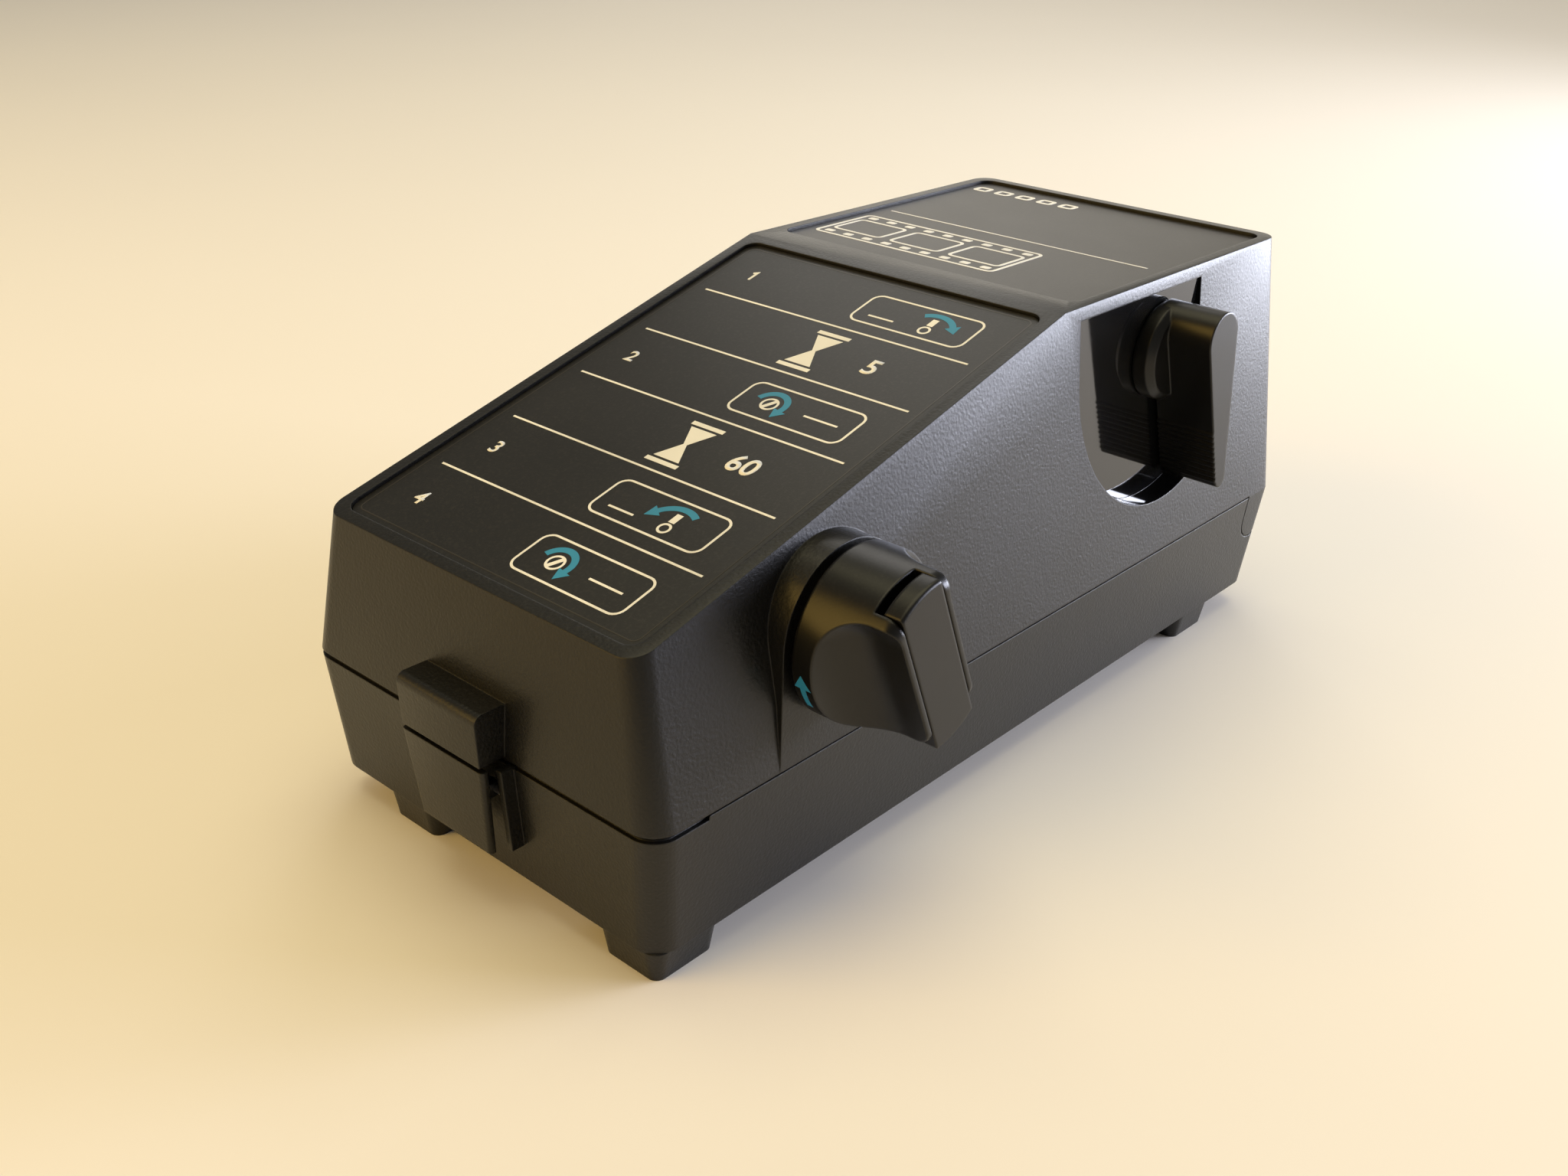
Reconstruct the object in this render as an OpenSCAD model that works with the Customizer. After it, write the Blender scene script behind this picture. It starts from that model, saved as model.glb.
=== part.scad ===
// Instant slide processor: a hinged two-part case. Turning the crank winds exposed film and a coated
// strip on to a drum. The side lever drives a press bar that opens and spreads the processing pack.
// Frame: +X runs from the latch to the hinge, the crank side faces -Y, +Z is up, the table is z = 0.
// Origin: middle of the overall box in X and Y, at table level.

/* [Case] */
// length of the case at the parting line
case_l = 235; // [215:1:260]
// width of the case at the parting line
case_w = 106; // [100:1:120]
// height of the feet under the base
foot_h = 7; // [4:0.5:12]
// height of the base from its underside to the parting line
base_h = 28.5; // [26:0.5:36]
// height of the lid's front edge above the parting line
lid_front_h = 33; // [31:0.5:40]
// height of the lid's flat top above the parting line
lid_top_h = 68.4; // [66:0.1:80]
// distance from the front wall to the break between slope and flat top
slope_run = 129; // [115:1:132]
// width across the top edges of the lid
lid_top_w = 92; // [86:1:98]
// set-back of the front wall at its top edge
front_lean = 2.5; // [1:0.1:5]
// set-back of the rear wall at its top edge
rear_lean = 7.3; // [4:0.1:10]
// inward taper of the base walls from parting line to underside
base_taper = 2.5; // [1.5:0.1:3.5]
// plan radius of the case corners at the parting line
corner_r = 6; // [5:0.5:9]
// plan radius of the corners of the lid's top
top_corner_r = 5; // [4.5:0.5:8]
// wall thickness of both mouldings
wall = 2.5; // [2:0.1:3]
// height of the hairline gap between lid and base
parting_gap = 0.4; // [0.3:0.1:0.8]
// height and depth of the shadow groove along the front of the parting line
groove = 1.1; // [0.8:0.1:1.6]
// how far the shadow groove runs back along each side
groove_run = 14; // [8:1:30]

/* [Feet] */
// length of a foot at its top
foot_l = 18; // [12:0.5:24]
// width of a foot at its top
foot_w = 17.2; // [12:0.2:24]
// taper of each side of a foot
foot_taper = 1.2; // [0.5:0.1:2]
// corner radius of a foot at its top
foot_r = 3.4; // [2.5:0.1:5]
// set-in of the front feet and of the crank-side feet from the lower edge of the base
foot_inset = 0.5; // [0.3:0.1:4]
// set-in of the rear feet from the lower rear edge of the base
foot_rear_in = 18.7; // [8:0.1:24]
// set-in of the far feet from the lower far edge of the base
foot_far_in = 16; // [4:0.1:20]

/* [Panels] */
// rim left round the recessed panels
panel_rim = 3; // [2:0.5:6]
// depth of the panel pockets
panel_pocket = 1.6; // [1.2:0.1:2]
// thickness of the panel plates
panel_t = 0.8; // [0.5:0.1:1]
// corner radius of the panel plates
panel_r = 3.5; // [1:0.5:6]
// flat strip between the break and the top panel
top_panel_gap = 8; // [4:0.5:14]
// clearance round each panel plate in its pocket
panel_fit = 0.1; // [0.05:0.05:0.3]

/* [Hinge] */
// distance of the hinge axis from the rear wall
hinge_back = 8; // [7:0.1:9]
// distance of the hinge axis below the parting line
hinge_drop = 7.2; // [6.8:0.1:8]
// radius of the hinge knuckles
knuckle_r = 6; // [5:0.1:6.4]
// thickness of the hinge knuckles across the case
knuckle_t = 7; // [6:0.5:9]
// radius of the hinge pins
hinge_pin_r = 2; // [1.5:0.1:2.5]
// length of a hinge pin in the base
hinge_pin_hold = 7; // [5:0.5:9]
// length of a hinge pin in the knuckle
hinge_pin_reach = 4.5; // [3.5:0.1:5]

/* [Latch] */
// width of the lifting tab on the lid
tab_w = 24; // [20:0.5:30]
// height of the lifting tab
tab_h = 11.4; // [10:0.2:14]
// how far the tab and the latch plate stand off the front wall
tab_out = 6; // [5.8:0.1:7]
// how much further the tab stands off at its top
tab_tilt = 0.5; // [0:0.1:1]
// rounding of the tab's upper edge
tab_round = 2; // [1:0.1:2.4]
// skin of the hollow lifting tab
tab_skin = 1.6; // [1.4:0.1:1.7]
// width of the latch plate at its top
latch_w = 25; // [20:0.5:26]
// width of the latch plate at its foot
latch_foot_w = 21.5; // [16:0.5:24]
// height of the latch plate
latch_h = 20.4; // [17:0.2:22]
// thickness of the latch plate
latch_t = 1.6; // [1.4:0.1:2]
// how far the latch plate leans in at its foot
latch_lean = 2; // [0:0.1:2.5]
// radius of the latch pin
latch_pin_r = 0.8; // [0.7:0.05:0.9]
// wire thickness of the latch spring
spring_wire = 0.5; // [0.4:0.05:0.6]
// number of turns of the latch spring
spring_turns = 6; // [4:1:8]

/* [Crank] */
// distance of the crank axis from the front wall
crank_x = 50.5; // [46:0.5:60]
// height of the crank axis above the parting line
crank_rise = 25.5; // [23.5:0.5:27]
// radius of the knob and of the pad behind it
knob_r = 17.5; // [16:0.5:20]
// height of the knob
knob_h = 20; // [19:0.5:24]
// gap between the pad and the knob
knob_gap = 2; // [1.6:0.1:3]
// rounding of the knob's outer edge
knob_round = 3.2; // [2:0.1:4]
// width of the grip bar across the knob
bar_w = 14.4; // [14:0.2:17]
// radius of the finger scoops beside the grip bar
scoop_r = 10.5; // [9:0.5:12]
// height of the flat cheek above each finger scoop
cheek_h = 5; // [4:0.5:6]
// width of the folding handle
handle_w = 11.4; // [10:0.2:12]
// thickness of the folding handle
handle_t = 4.1; // [3.6:0.1:5]
// radius of the handle's lower end about the crank axis
handle_reach = 19; // [18:0.1:20]
// open slot under the folding handle
slot_gap = 2; // [0.8:0.1:2.4]
// rounding of the folding handle's outer edges at its ends
handle_round = 0.8; // [0.5:0.1:2]
// side clearance of the folding handle
handle_gap = 0.3; // [0.2:0.05:0.5]
// distance of the handle pin from the crank axis
handle_pin_at = 14.4; // [13.6:0.1:15]
// radius of the handle pin
handle_pin_r = 0.9; // [0.7:0.1:1.1]
// turn of the knob in the rest pose
knob_turn = 23; // [0:1:90]
// radius of the crank shaft
crank_shaft_r = 4; // [3:0.1:4.5]
// wall of the crank bush
bush_wall = 2; // [1.5:0.1:2.5]

/* [Lever] */
// distance of the lever axis from the front wall
lever_x = 172; // [165:0.5:178]
// height of the lever axis above the parting line
lever_rise = 50.9; // [49:0.1:52]
// length of the lever from its axis to its tip
lever_l = 35; // [31:0.1:35.6]
// length of the lever above its axis
lever_head = 11.8; // [10:0.1:12.2]
// half thickness of the lever at its head
lever_head_r = 6.2; // [5:0.1:6.4]
// half thickness of the lever at its tip
lever_tip_r = 2.1; // [1.5:0.1:2.6]
// width of the lever across the case
lever_w = 15; // [12:0.5:16]
// turn of the lever past vertical in the rest pose
lever_lean = 14; // [0:1:15]
// swing of the lever from the rest pose
lever_swing = 100; // [90:1:105]
// set-back of the lever's middle line from its axis
lever_off = 2; // [0:0.1:2.4]
// radius of the lever hub
hub_r = 11.5; // [9:0.1:12]
// height of the lever hub
hub_h = 4.9; // [4:0.1:6]
// number of grip ridges on the lever
ridges = 10; // [6:1:12]
// spacing of the grip ridges
ridge_pitch = 1.55; // [1.3:0.05:1.8]
// radius of the lever recess in front of and below the axis
recess_reach = 37; // [36.6:0.1:38]
// extent of the lever recess behind the axis
recess_back = 16; // [15:0.5:18]
// extent of the lever recess above the axis
recess_top = 14.4; // [14:0.1:15]
// distance of the recess floor from the middle of the case
recess_floor = 45.8; // [45:0.1:46]
// thickness of the dish
dish_t = 3.2; // [3:0.1:3.6]
// radius of the lever shaft
lever_shaft_r = 4; // [3:0.1:4]

/* [Gears] */
// tooth module of the crank train
train_module = 1.5; // [1.4:0.05:1.6]
// teeth on the crank gear
crank_teeth = 16; // [14:1:17]
// teeth on the drum gear
drum_teeth = 22; // [20:1:24]
// teeth on the rewind gear
rewind_teeth = 14; // [12:1:16]
// face width of the crank train
gear_w = 5; // [4:0.5:6]
// tooth module of the lever pinion and rack
rack_module = 1; // [0.9:0.05:1.1]
// teeth on the lever pinion
pinion_teeth = 12; // [12:1:13]
// backlash on the pitch line
backlash = 0.24; // [0.16:0.02:0.4]

/* [Film path] */
// radius of the take-up drum
drum_r = 16; // [13:0.5:17]
// height of the drum flanges above the drum
drum_flange = 3.6; // [2:0.2:4]
// width between the drum flanges
film_w = 38; // [36:0.5:40]
// distance between the bearing walls
bay_w = 48; // [47:0.5:52]
// thickness of the bearing walls
bearing_t = 3; // [2.5:0.1:4]
// radius of the drum shaft
drum_shaft_r = 3; // [2.5:0.1:3.5]
// radius of the film cassette cradle
cassette_r = 13.2; // [12.8:0.1:14]
// distance of the cassette axis from the front wall
cassette_x = 96; // [92:0.5:100]
// height of the cassette axis below the parting line
cassette_drop = 8.5; // [7:0.5:9]
// radius of the rewind spindle
rewind_r = 3; // [2.5:0.1:3.5]
// radius of the guide rollers
roller_r = 4.6; // [3.5:0.1:5]
// radius of the journals of the guide rollers
journal_r = 1.6; // [1.2:0.1:2]
// inside length of the pack well
pack_l = 80; // [70:1:84]
// width of the tray shelf beside the pack well
tray_shelf = 9.8; // [8:0.1:12]
// thickness of the tray floor and the well walls
tray_t = 2; // [1.5:0.1:2.5]

/* [Press] */
// thickness of the press bar along the case
bar_t = 6.5; // [5:0.1:8]
// width of the lever pinion and of the press bar
pinion_w = 6; // [5:0.1:7]
// height of the press pad above the parting line
press_rise = 20; // [17:0.5:22]
// length of the press pad along the case
press_pad_l = 22; // [16:0.5:26]
// thickness of the press pad
press_pad_t = 4; // [3:0.1:5]
// distance from the end of the press pad to the far wall of the pack well
press_pad_end = 8; // [4:0.5:12]
// wall of the press guide
guide_wall = 3; // [2:0.1:4]
// width of the ears of the press guide
guide_ear = 7; // [6:0.1:8]

/* [Screws] */
// radius of the small screws
screw_r = 1.5; // [1.2:0.1:1.8]
// radius of the screw heads
screw_head_r = 2.9; // [2.4:0.1:3.2]
// height of the screw heads
screw_head_h = 1.8; // [1.4:0.1:2]
// length of thread in the moulding
screw_hold = 1.8; // [1.4:0.1:2]
// height of the flat head of the gear screw
gear_screw_h = 0.9; // [0.7:0.1:1.2]

/* [Fits] */
// radial clearance of a running shaft
run_fit = 0.05; // [0.02:0.01:0.1]
// clearance between pieces that pass each other
pass_gap = 0.3; // [0.25:0.05:0.5]

/* [Hidden] */

$fn = 64;
hull_fn = 48;
sliver = 0.01;
past = 1;
far = 400;

case_black = [0.17, 0.17, 0.18];
inner_black = [0.10, 0.10, 0.11];
gloss_black = [0.08, 0.08, 0.085];
panel_grey = [0.21, 0.205, 0.20];
nylon_white = [0.86, 0.85, 0.80];
steel = [0.62, 0.63, 0.65];
roller_grey = [0.35, 0.35, 0.36];

// levels of the case
base_z = foot_h;
part_z = foot_h + base_h;
front_z = part_z + lid_front_h;
top_z = part_z + lid_top_h;
slope_a = atan((lid_top_h - lid_front_h) / (slope_run - front_lean));
slope_l = norm([lid_top_h - lid_front_h, slope_run - front_lean]);
top_l = case_l - rear_lean - slope_run;
side_lean = (case_w - lid_top_w) / 2 / lid_top_h;
lid_low_z = part_z + parting_gap / 2;
base_top_z = part_z - parting_gap / 2;
floor_z = base_z + wall;
lip_gap = 1;
lip_t = 1.2;
lip_h = 2;
lip_foot = 5;
lip_run = case_l - hinge_back - 20;
low_half = case_w / 2 - base_taper;

// half width of the lid at a place on its side:
// one plane under the slope and one under the flat top
function lid_half(x, z) =
  let (
    rise = z - part_z,
    spread = slope_run * lid_front_h - front_lean * lid_top_h,
    by_break = (x * lid_front_h - front_lean * rise) / spread,
    by_front = (slope_run * rise - lid_top_h * x) / spread
  )
    case_w / 2 - (case_w - lid_top_w) / 2 * max(rise / lid_top_h, by_break + by_front);

// panels
slope_panel_l = slope_l - 2 * panel_rim;
top_panel_l = top_l - top_panel_gap - panel_rim;
panel_w = lid_top_w - 2 * panel_rim;

// hinge
hinge_x = case_l - hinge_back;
hinge_z = part_z - hinge_drop;
knuckle_gap = 0.4;
knuckle_out = case_w / 2 - base_taper * hinge_drop / base_h;
knuckle_in = knuckle_out - knuckle_t;
block_in = knuckle_in - hinge_pin_hold - 1.5;
rear_sweep_r = norm([hinge_back - wall, hinge_drop + parting_gap / 2]) - knuckle_gap;

// latch
tab_low = part_z + groove / 2;
tab_top = tab_low + tab_h;
latch_top = part_z - groove / 2;
latch_low = latch_top - latch_h;
latch_pin_z = latch_top - 6;
lug_r = latch_pin_r + 0.7;
lug_t = 2.4;
lug_at = latch_foot_w / 2 - lug_t;
latch_pin_x = base_taper * (part_z - latch_pin_z) / base_h - pass_gap - lug_r;
rib_t = 1.4;
rib_at = latch_w / 2 + 2 * pass_gap;
rib_hold = rib_at + 0.6 * rib_t;
rib_skin = 0.4;
rib_low = latch_low + 1.5;
rib_draw = base_taper * (latch_top - rib_low) / base_h;
rib_out = latch_pin_r + rib_skin - latch_pin_x + base_taper * (latch_top - latch_pin_z) / base_h;
lip_reach = 1.2;
lip_top = tab_low + 3.4;
hook_t = 1.2;
hook_w = 12;
hook_in = 0.8;
hook_x = -lip_reach - pass_gap;
hook_low = lip_top + pass_gap;
hook_high = hook_low + 2.2;
spring_l = 2 * lug_at - 2;
spring_r = latch_pin_r + 0.1 + spring_wire / 2;
spring_rings = 8;
wire_sides = 6;

// crank, with heights measured outwards from the pad face
pad_y = -case_w / 2;
crank_z = part_z + crank_rise;
knob_y = pad_y - knob_gap;
knob_face_y = knob_y - knob_h;
handle_low = knob_h - handle_t;
handle_pin_h = knob_h - handle_t / 2;
heel_r = norm([handle_reach - handle_pin_at, handle_t / 2]);
slot_floor = handle_low - slot_gap;
slot_w = handle_w + 2 * handle_gap;
cheek_skin = 0.5;
handle_pin_l = bar_w - 2 * cheek_skin;
scoop_at = bar_w / 2 + scoop_r;
scoop_h = knob_h - cheek_h;
scoop_start = scoop_r;
knob_hole = min(9, slot_floor - 1.6);
bush_r = crank_shaft_r + bush_wall;
bush_flange_r = knob_r - 4;
bush_flange_t = knob_gap - pass_gap;
gear_room = 0.6;
gear_top_z = crank_z + train_module * (crank_teeth / 2 + 1);
gear_y = wall + gear_room - lid_half(crank_x, gear_top_z + wall + panel_pocket);
gear_end_y = gear_y + gear_w;
bush_end_y = gear_y - pass_gap;
shaft_end_y = gear_end_y - 0.6;
gear_screw_l = 5;

// crank train
train_tilt = 10;
train_c = train_module * (crank_teeth + drum_teeth) / 2;
drum_x = crank_x - train_c * sin(train_tilt);
drum_z = crank_z - train_c * cos(train_tilt);
crank_gear_turn = 270 - train_tilt;
drum_gear_turn = 90 - train_tilt + 180 / drum_teeth;

// bearing walls and tray
near_out = gear_end_y + gear_screw_h + pass_gap;
near_in = near_out + bearing_t;
far_in = near_in + bay_w;
far_out = far_in + bearing_t;
tray_z = floor_z + tray_t;
tray_x0 = wall + base_taper + 8;
tray_x1 = hinge_x - knuckle_r - 6;
tray_w = case_w - 2 * (wall + base_taper + 2.2);
rail_top = tray_z + 9;
drum_flange_r = drum_r + drum_flange;
drum_l = bay_w - 2 * pass_gap;
flange_t = (drum_l - film_w) / 2;
cassette_z = part_z - cassette_drop;
rewind_gear_r = train_module * rewind_teeth / 2;
front_roller_x = (drum_x + drum_flange_r + cassette_x - cassette_r) / 2;
front_roller_z = part_z - 2;
rear_roller_x = cassette_x + cassette_r + roller_r + 4;
rear_roller_z = part_z - 3;
pack_w = tray_w - 2 * (tray_shelf + tray_t);
pack_x = tray_x1 - tray_t - 2 - pack_l / 2;
well_top = base_top_z - 2;
tray_screw_x = [tray_x0 + 5, tray_x1 - 5];
tray_screw_y = tray_w / 2 - tray_shelf / 2;
screw_fit = 0.05;
drum_post_r = drum_shaft_r + 4;
fork_post_r = rewind_r + 4;
roller_post_r = journal_r + 2.6;
post_spread = 1.6;
rail_x = drum_x - post_spread * drum_post_r;
drum_wall = 2.5;
drum_web = 3;
drum_hub_r = drum_shaft_r + 3;
drum_peg_r = 1.4;
drum_peg_out = 2.4;
fork_l = 5;
fork_slot = 1.6;
fork_grip = 3.5;

// lever and press
lever_z = part_z + lever_rise;
floor_y = -recess_floor;
lever_in_y = floor_y - 1.2;
lever_out_y = lever_in_y - lever_w;
lever_head_y = lever_head - lever_head_r;
lever_tip_y = lever_tip_r - lever_l;
lever_slant = asin((lever_head_r - lever_tip_r) / (lever_head_y - lever_tip_y));
ridge_r = 0.65;
ridge_sunk = 0.25;
hub_in_y = floor_y - pass_gap;
hub_out_y = hub_in_y - hub_h;
hub_round = 1.6;
hub_skin = 1;
boss_r = lever_shaft_r + 3;
boss_l = 4;
pinion_r = rack_module * pinion_teeth / 2;
pinion_y = floor_y + dish_t + boss_l + pass_gap;
pinion_end_y = pinion_y + pinion_w;
rack_x = lever_x - pinion_r;
rack_root_x = rack_x - 1.25 * rack_module;
bar_x0 = rack_root_x - bar_t;
rack_w = pinion_w;
rack_y = pinion_y;
rack_top = lever_z + 1.5 * rack_module;
press_low = part_z + press_rise;
press_pad_w = pack_w / 2 - press_pad_end - rack_y;
press_pad_r = 3;
press_travel = pinion_r * lever_swing * PI / 180;
guide_gap = 0.8;
guide_low = press_low + press_pad_t + press_travel + guide_gap;
guide_high = lever_z - pinion_r - rack_module - 2;
guide_x0 = bar_x0 - pass_gap - guide_wall;
guide_x1 = rack_x + rack_module + pass_gap + guide_wall;
guide_y0 = floor_y + dish_t;
guide_y1 = rack_y + rack_w + pass_gap + guide_wall;
guide_ear_t = 3;
dish_lap = 1.5;
dish_hold = 0.7 * dish_t;
guide_screw_z = (guide_low + guide_high) / 2;

// the whole part
mid_x = (case_l - tab_out - tab_tilt) / 2;
mid_y = (case_w / 2 + knob_face_y) / 2;

// helpers

module in_frame() {
  translate([-mid_x, -mid_y, 0]) children();
}

// drawing in X and Z, given thickness between two Y values
module across(y_lo, y_hi) {
  translate([0, y_hi, 0]) rotate([90, 0, 0]) linear_extrude(height = y_hi - y_lo) children();
}

// round bar along Y between two Y values
module rod(x, z, y_lo, y_hi, r) {
  translate([x, y_hi, z]) rotate([90, 0, 0]) cylinder(h = y_hi - y_lo, r = r);
}

// local frame on the crank side: x forward to back, y up, z outwards
module on_side(x, y, z) {
  translate([x, y, z]) rotate([90, 0, 0]) children();
}

module rounded_rect(l, w, r) {
  square([l - 2 * r, w], center = true);
  square([l, w - 2 * r], center = true);
  for (sx = [-1, 1], sy = [-1, 1])
    translate([sx * (l / 2 - r), sy * (w / 2 - r)]) circle(r = r);
}

// gear tooth flanks are involutes of the base circle
pressure_a = 20;
flank_steps = 4;
function unwind(ratio) = sqrt(max(ratio * ratio - 1, 0)) * 180 / PI - acos(min(1 / ratio, 1));
function polar(r, a) = [r * cos(a), r * sin(a)];

module gear_2d(m, n, play) {
  rp = m * n / 2;
  rb = rp * cos(pressure_a);
  ra = rp + m;
  rf = rp - 1.25 * m;
  half_a = 90 / n - play / rp * 45 / PI + unwind(rp / rb);
  low_r = max(rb, rf);
  flank = [for (k = [0:flank_steps]) low_r + (ra - low_r) * k / flank_steps];
  polygon([
    for (i = [0:n - 1])
      let (c = 360 * i / n)
        each concat(
          [polar(rf, c - half_a)],
          [for (r = flank) polar(r, c - half_a + unwind(r / rb))],
          [for (k = [flank_steps:-1:0]) polar(flank[k], c + half_a - unwind(flank[k] / rb))],
          [polar(rf, c + half_a)]
        )
  ]);
}

// straight rack beside its pitch line, teeth towards +X, one tooth space centred on y = 0
module rack_2d(m, y_lo, y_hi, play) {
  pitch = PI * m;
  half = pitch / 4 - play / 2;
  slant = tan(pressure_a);
  first = ceil((y_lo / pitch) - 0.5 + 0.35);
  last = floor((y_hi / pitch) - 0.5 - 0.35);
  for (i = [first:last])
    translate([0, (i + 0.5) * pitch])
      polygon([
        [-1.25 * m - sliver, -half - 1.25 * m * slant],
        [m, -half + m * slant],
        [m, half - m * slant],
        [-1.25 * m - sliver, half + 1.25 * m * slant]
      ]);
}

// block whose four sides draw in evenly towards its foot; the top face lies at z = 0
module draft_block(l, w, h, r, inset) {
  lc = l / 2 - r;
  wc = w / 2 - r;
  rotate([90, 0, 0]) translate([0, 0, -wc]) linear_extrude(height = 2 * wc)
    polygon([[-l / 2, 0], [l / 2, 0], [l / 2 - inset, -h], [-l / 2 + inset, -h]]);
  rotate([90, 0, 90]) translate([0, 0, -lc]) linear_extrude(height = 2 * lc)
    polygon([[-w / 2, 0], [w / 2, 0], [w / 2 - inset, -h], [-w / 2 + inset, -h]]);
  for (sx = [-1, 1], sy = [-1, 1])
    translate([sx * lc, sy * wc, -h]) cylinder(h = h, r1 = r - inset, r2 = r);
}

// ring that follows the plan of the case at the parting line
module plan_ring(z_lo, z_hi, out_in, in_in) {
  translate([case_l / 2, 0, z_lo]) linear_extrude(height = z_hi - z_lo) difference() {
    rounded_rect(case_l - 2 * out_in, case_w - 2 * out_in, max(corner_r - out_in, 0.8));
    rounded_rect(case_l - 2 * in_in, case_w - 2 * in_in, max(corner_r - in_in, 0.8));
  }
}

// forms of the two mouldings

module base_form(inset, z_lo, z_hi) {
  hull() {
    for (z = [z_lo, z_hi])
      let (d = inset + base_taper * (part_z - z) / base_h)
        for (x = [d, case_l - d], y = [-1, 1])
          translate([x == d ? corner_r + d - inset : case_l - corner_r - d + inset,
                     y * (case_w / 2 - corner_r - d + inset), z == z_hi ? z - sliver : z])
            cylinder(r = corner_r - inset, h = sliver, $fn = hull_fn);
  }
}

module lid_form(side_in, top_in) {
  plan_r = top_corner_r - side_in;
  low = side_in > 0 ? past : 0;
  drop = top_in * tan(slope_a / 2);
  hull() {
    for (x = [corner_r, case_l - corner_r], y = [-1, 1])
      translate([x, y * (case_w / 2 - corner_r), part_z - low])
        cylinder(r = corner_r - side_in, h = sliver, $fn = hull_fn);
    for (y = [-1, 1]) {
      translate([front_lean, y * (lid_top_w / 2 - top_corner_r), front_z]) rotate([0, -slope_a, 0])
        translate([top_corner_r, 0, -top_in - sliver])
          cylinder(r = plan_r, h = sliver, $fn = hull_fn);
      translate([slope_run + drop, y * (lid_top_w / 2 - side_in) - sliver / 2, top_z - top_in - sliver])
        cube([sliver, sliver, sliver]);
      translate([case_l - rear_lean - top_corner_r, y * (lid_top_w / 2 - top_corner_r),
                 top_z - top_in - sliver])
        cylinder(r = plan_r, h = sliver, $fn = hull_fn);
    }
  }
}

// local frame on the slope: x up the slope from its front edge, z out of the slope
module on_slope() {
  translate([front_lean, 0, front_z]) rotate([0, -slope_a, 0]) children();
}

module slope_plate(z_lo, z_hi, shrink) {
  on_slope() translate([slope_l / 2, 0, z_lo]) linear_extrude(height = z_hi - z_lo)
    rounded_rect(slope_panel_l - 2 * shrink, panel_w - 2 * shrink, panel_r);
}

module top_plate(z_lo, z_hi, shrink) {
  translate([slope_run + top_panel_gap + top_panel_l / 2, 0, top_z + z_lo])
    linear_extrude(height = z_hi - z_lo)
      rounded_rect(top_panel_l - 2 * shrink, panel_w - 2 * shrink, panel_r);
}

// opening of the lever recess, in X and Z: a quarter sweep about the lever axis
module recess_2d(grow) {
  intersection() {
    translate([lever_x - recess_reach - grow, lever_z - recess_reach - grow])
      square([recess_reach + recess_back + 2 * grow, recess_reach + recess_top + 2 * grow]);
    union() {
      translate([lever_x, lever_z]) circle(r = recess_reach + grow);
      translate([lever_x - recess_reach - grow, lever_z])
        square([recess_reach + recess_back + 2 * grow, recess_top + grow]);
    }
  }
}

module knuckle_2d(grow) {
  translate([hinge_x, hinge_z]) circle(r = knuckle_r + grow);
  translate([hinge_x - knuckle_r - grow, hinge_z])
    square([2 * (knuckle_r + grow), hinge_drop + wall + 2]);
}

// room that the knuckles and the rear wall of the lid sweep in the base
module hinge_room_2d() {
  knuckle_2d(knuckle_gap);
  translate([hinge_x, hinge_z - knuckle_r - knuckle_gap])
    square([far, knuckle_r + hinge_drop + far]);
}

// upright bearing post with a round head, in X and Z
module post_2d(x, z, r) {
  translate([x, z]) circle(r = r);
  polygon([
    [x - r, z],
    [x + r, z],
    [x + post_spread * r, tray_z - sliver],
    [x - post_spread * r, tray_z - sliver]
  ]);
}

// base moulding

module feet() {
  x_at = [base_taper + foot_inset + foot_l / 2, case_l - base_taper - foot_rear_in - foot_l / 2];
  y_at = [foot_inset + foot_w / 2 - low_half, low_half - foot_far_in - foot_w / 2];
  for (x = x_at, y = y_at)
    translate([x, y, base_z + sliver]) draft_block(foot_l, foot_w, foot_h + sliver, foot_r, foot_taper);
}

module latch_ribs() {
  for (y = [-rib_at - rib_t, rib_at])
    across(y, y + rib_t)
      polygon([
        [wall / 2, latch_top],
        [-rib_out, latch_top],
        [rib_draw - rib_out, rib_low],
        [base_taper + wall / 2, rib_low]
      ]);
}

module hinge_blocks() {
  intersection() {
    for (y = [-1, 1])
      translate([hinge_x - knuckle_r - 4, y > 0 ? block_in : -case_w / 2, base_z])
        cube([far, case_w / 2 - block_in, base_h - parting_gap / 2]);
    base_form(0, base_z, part_z);
  }
}

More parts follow.
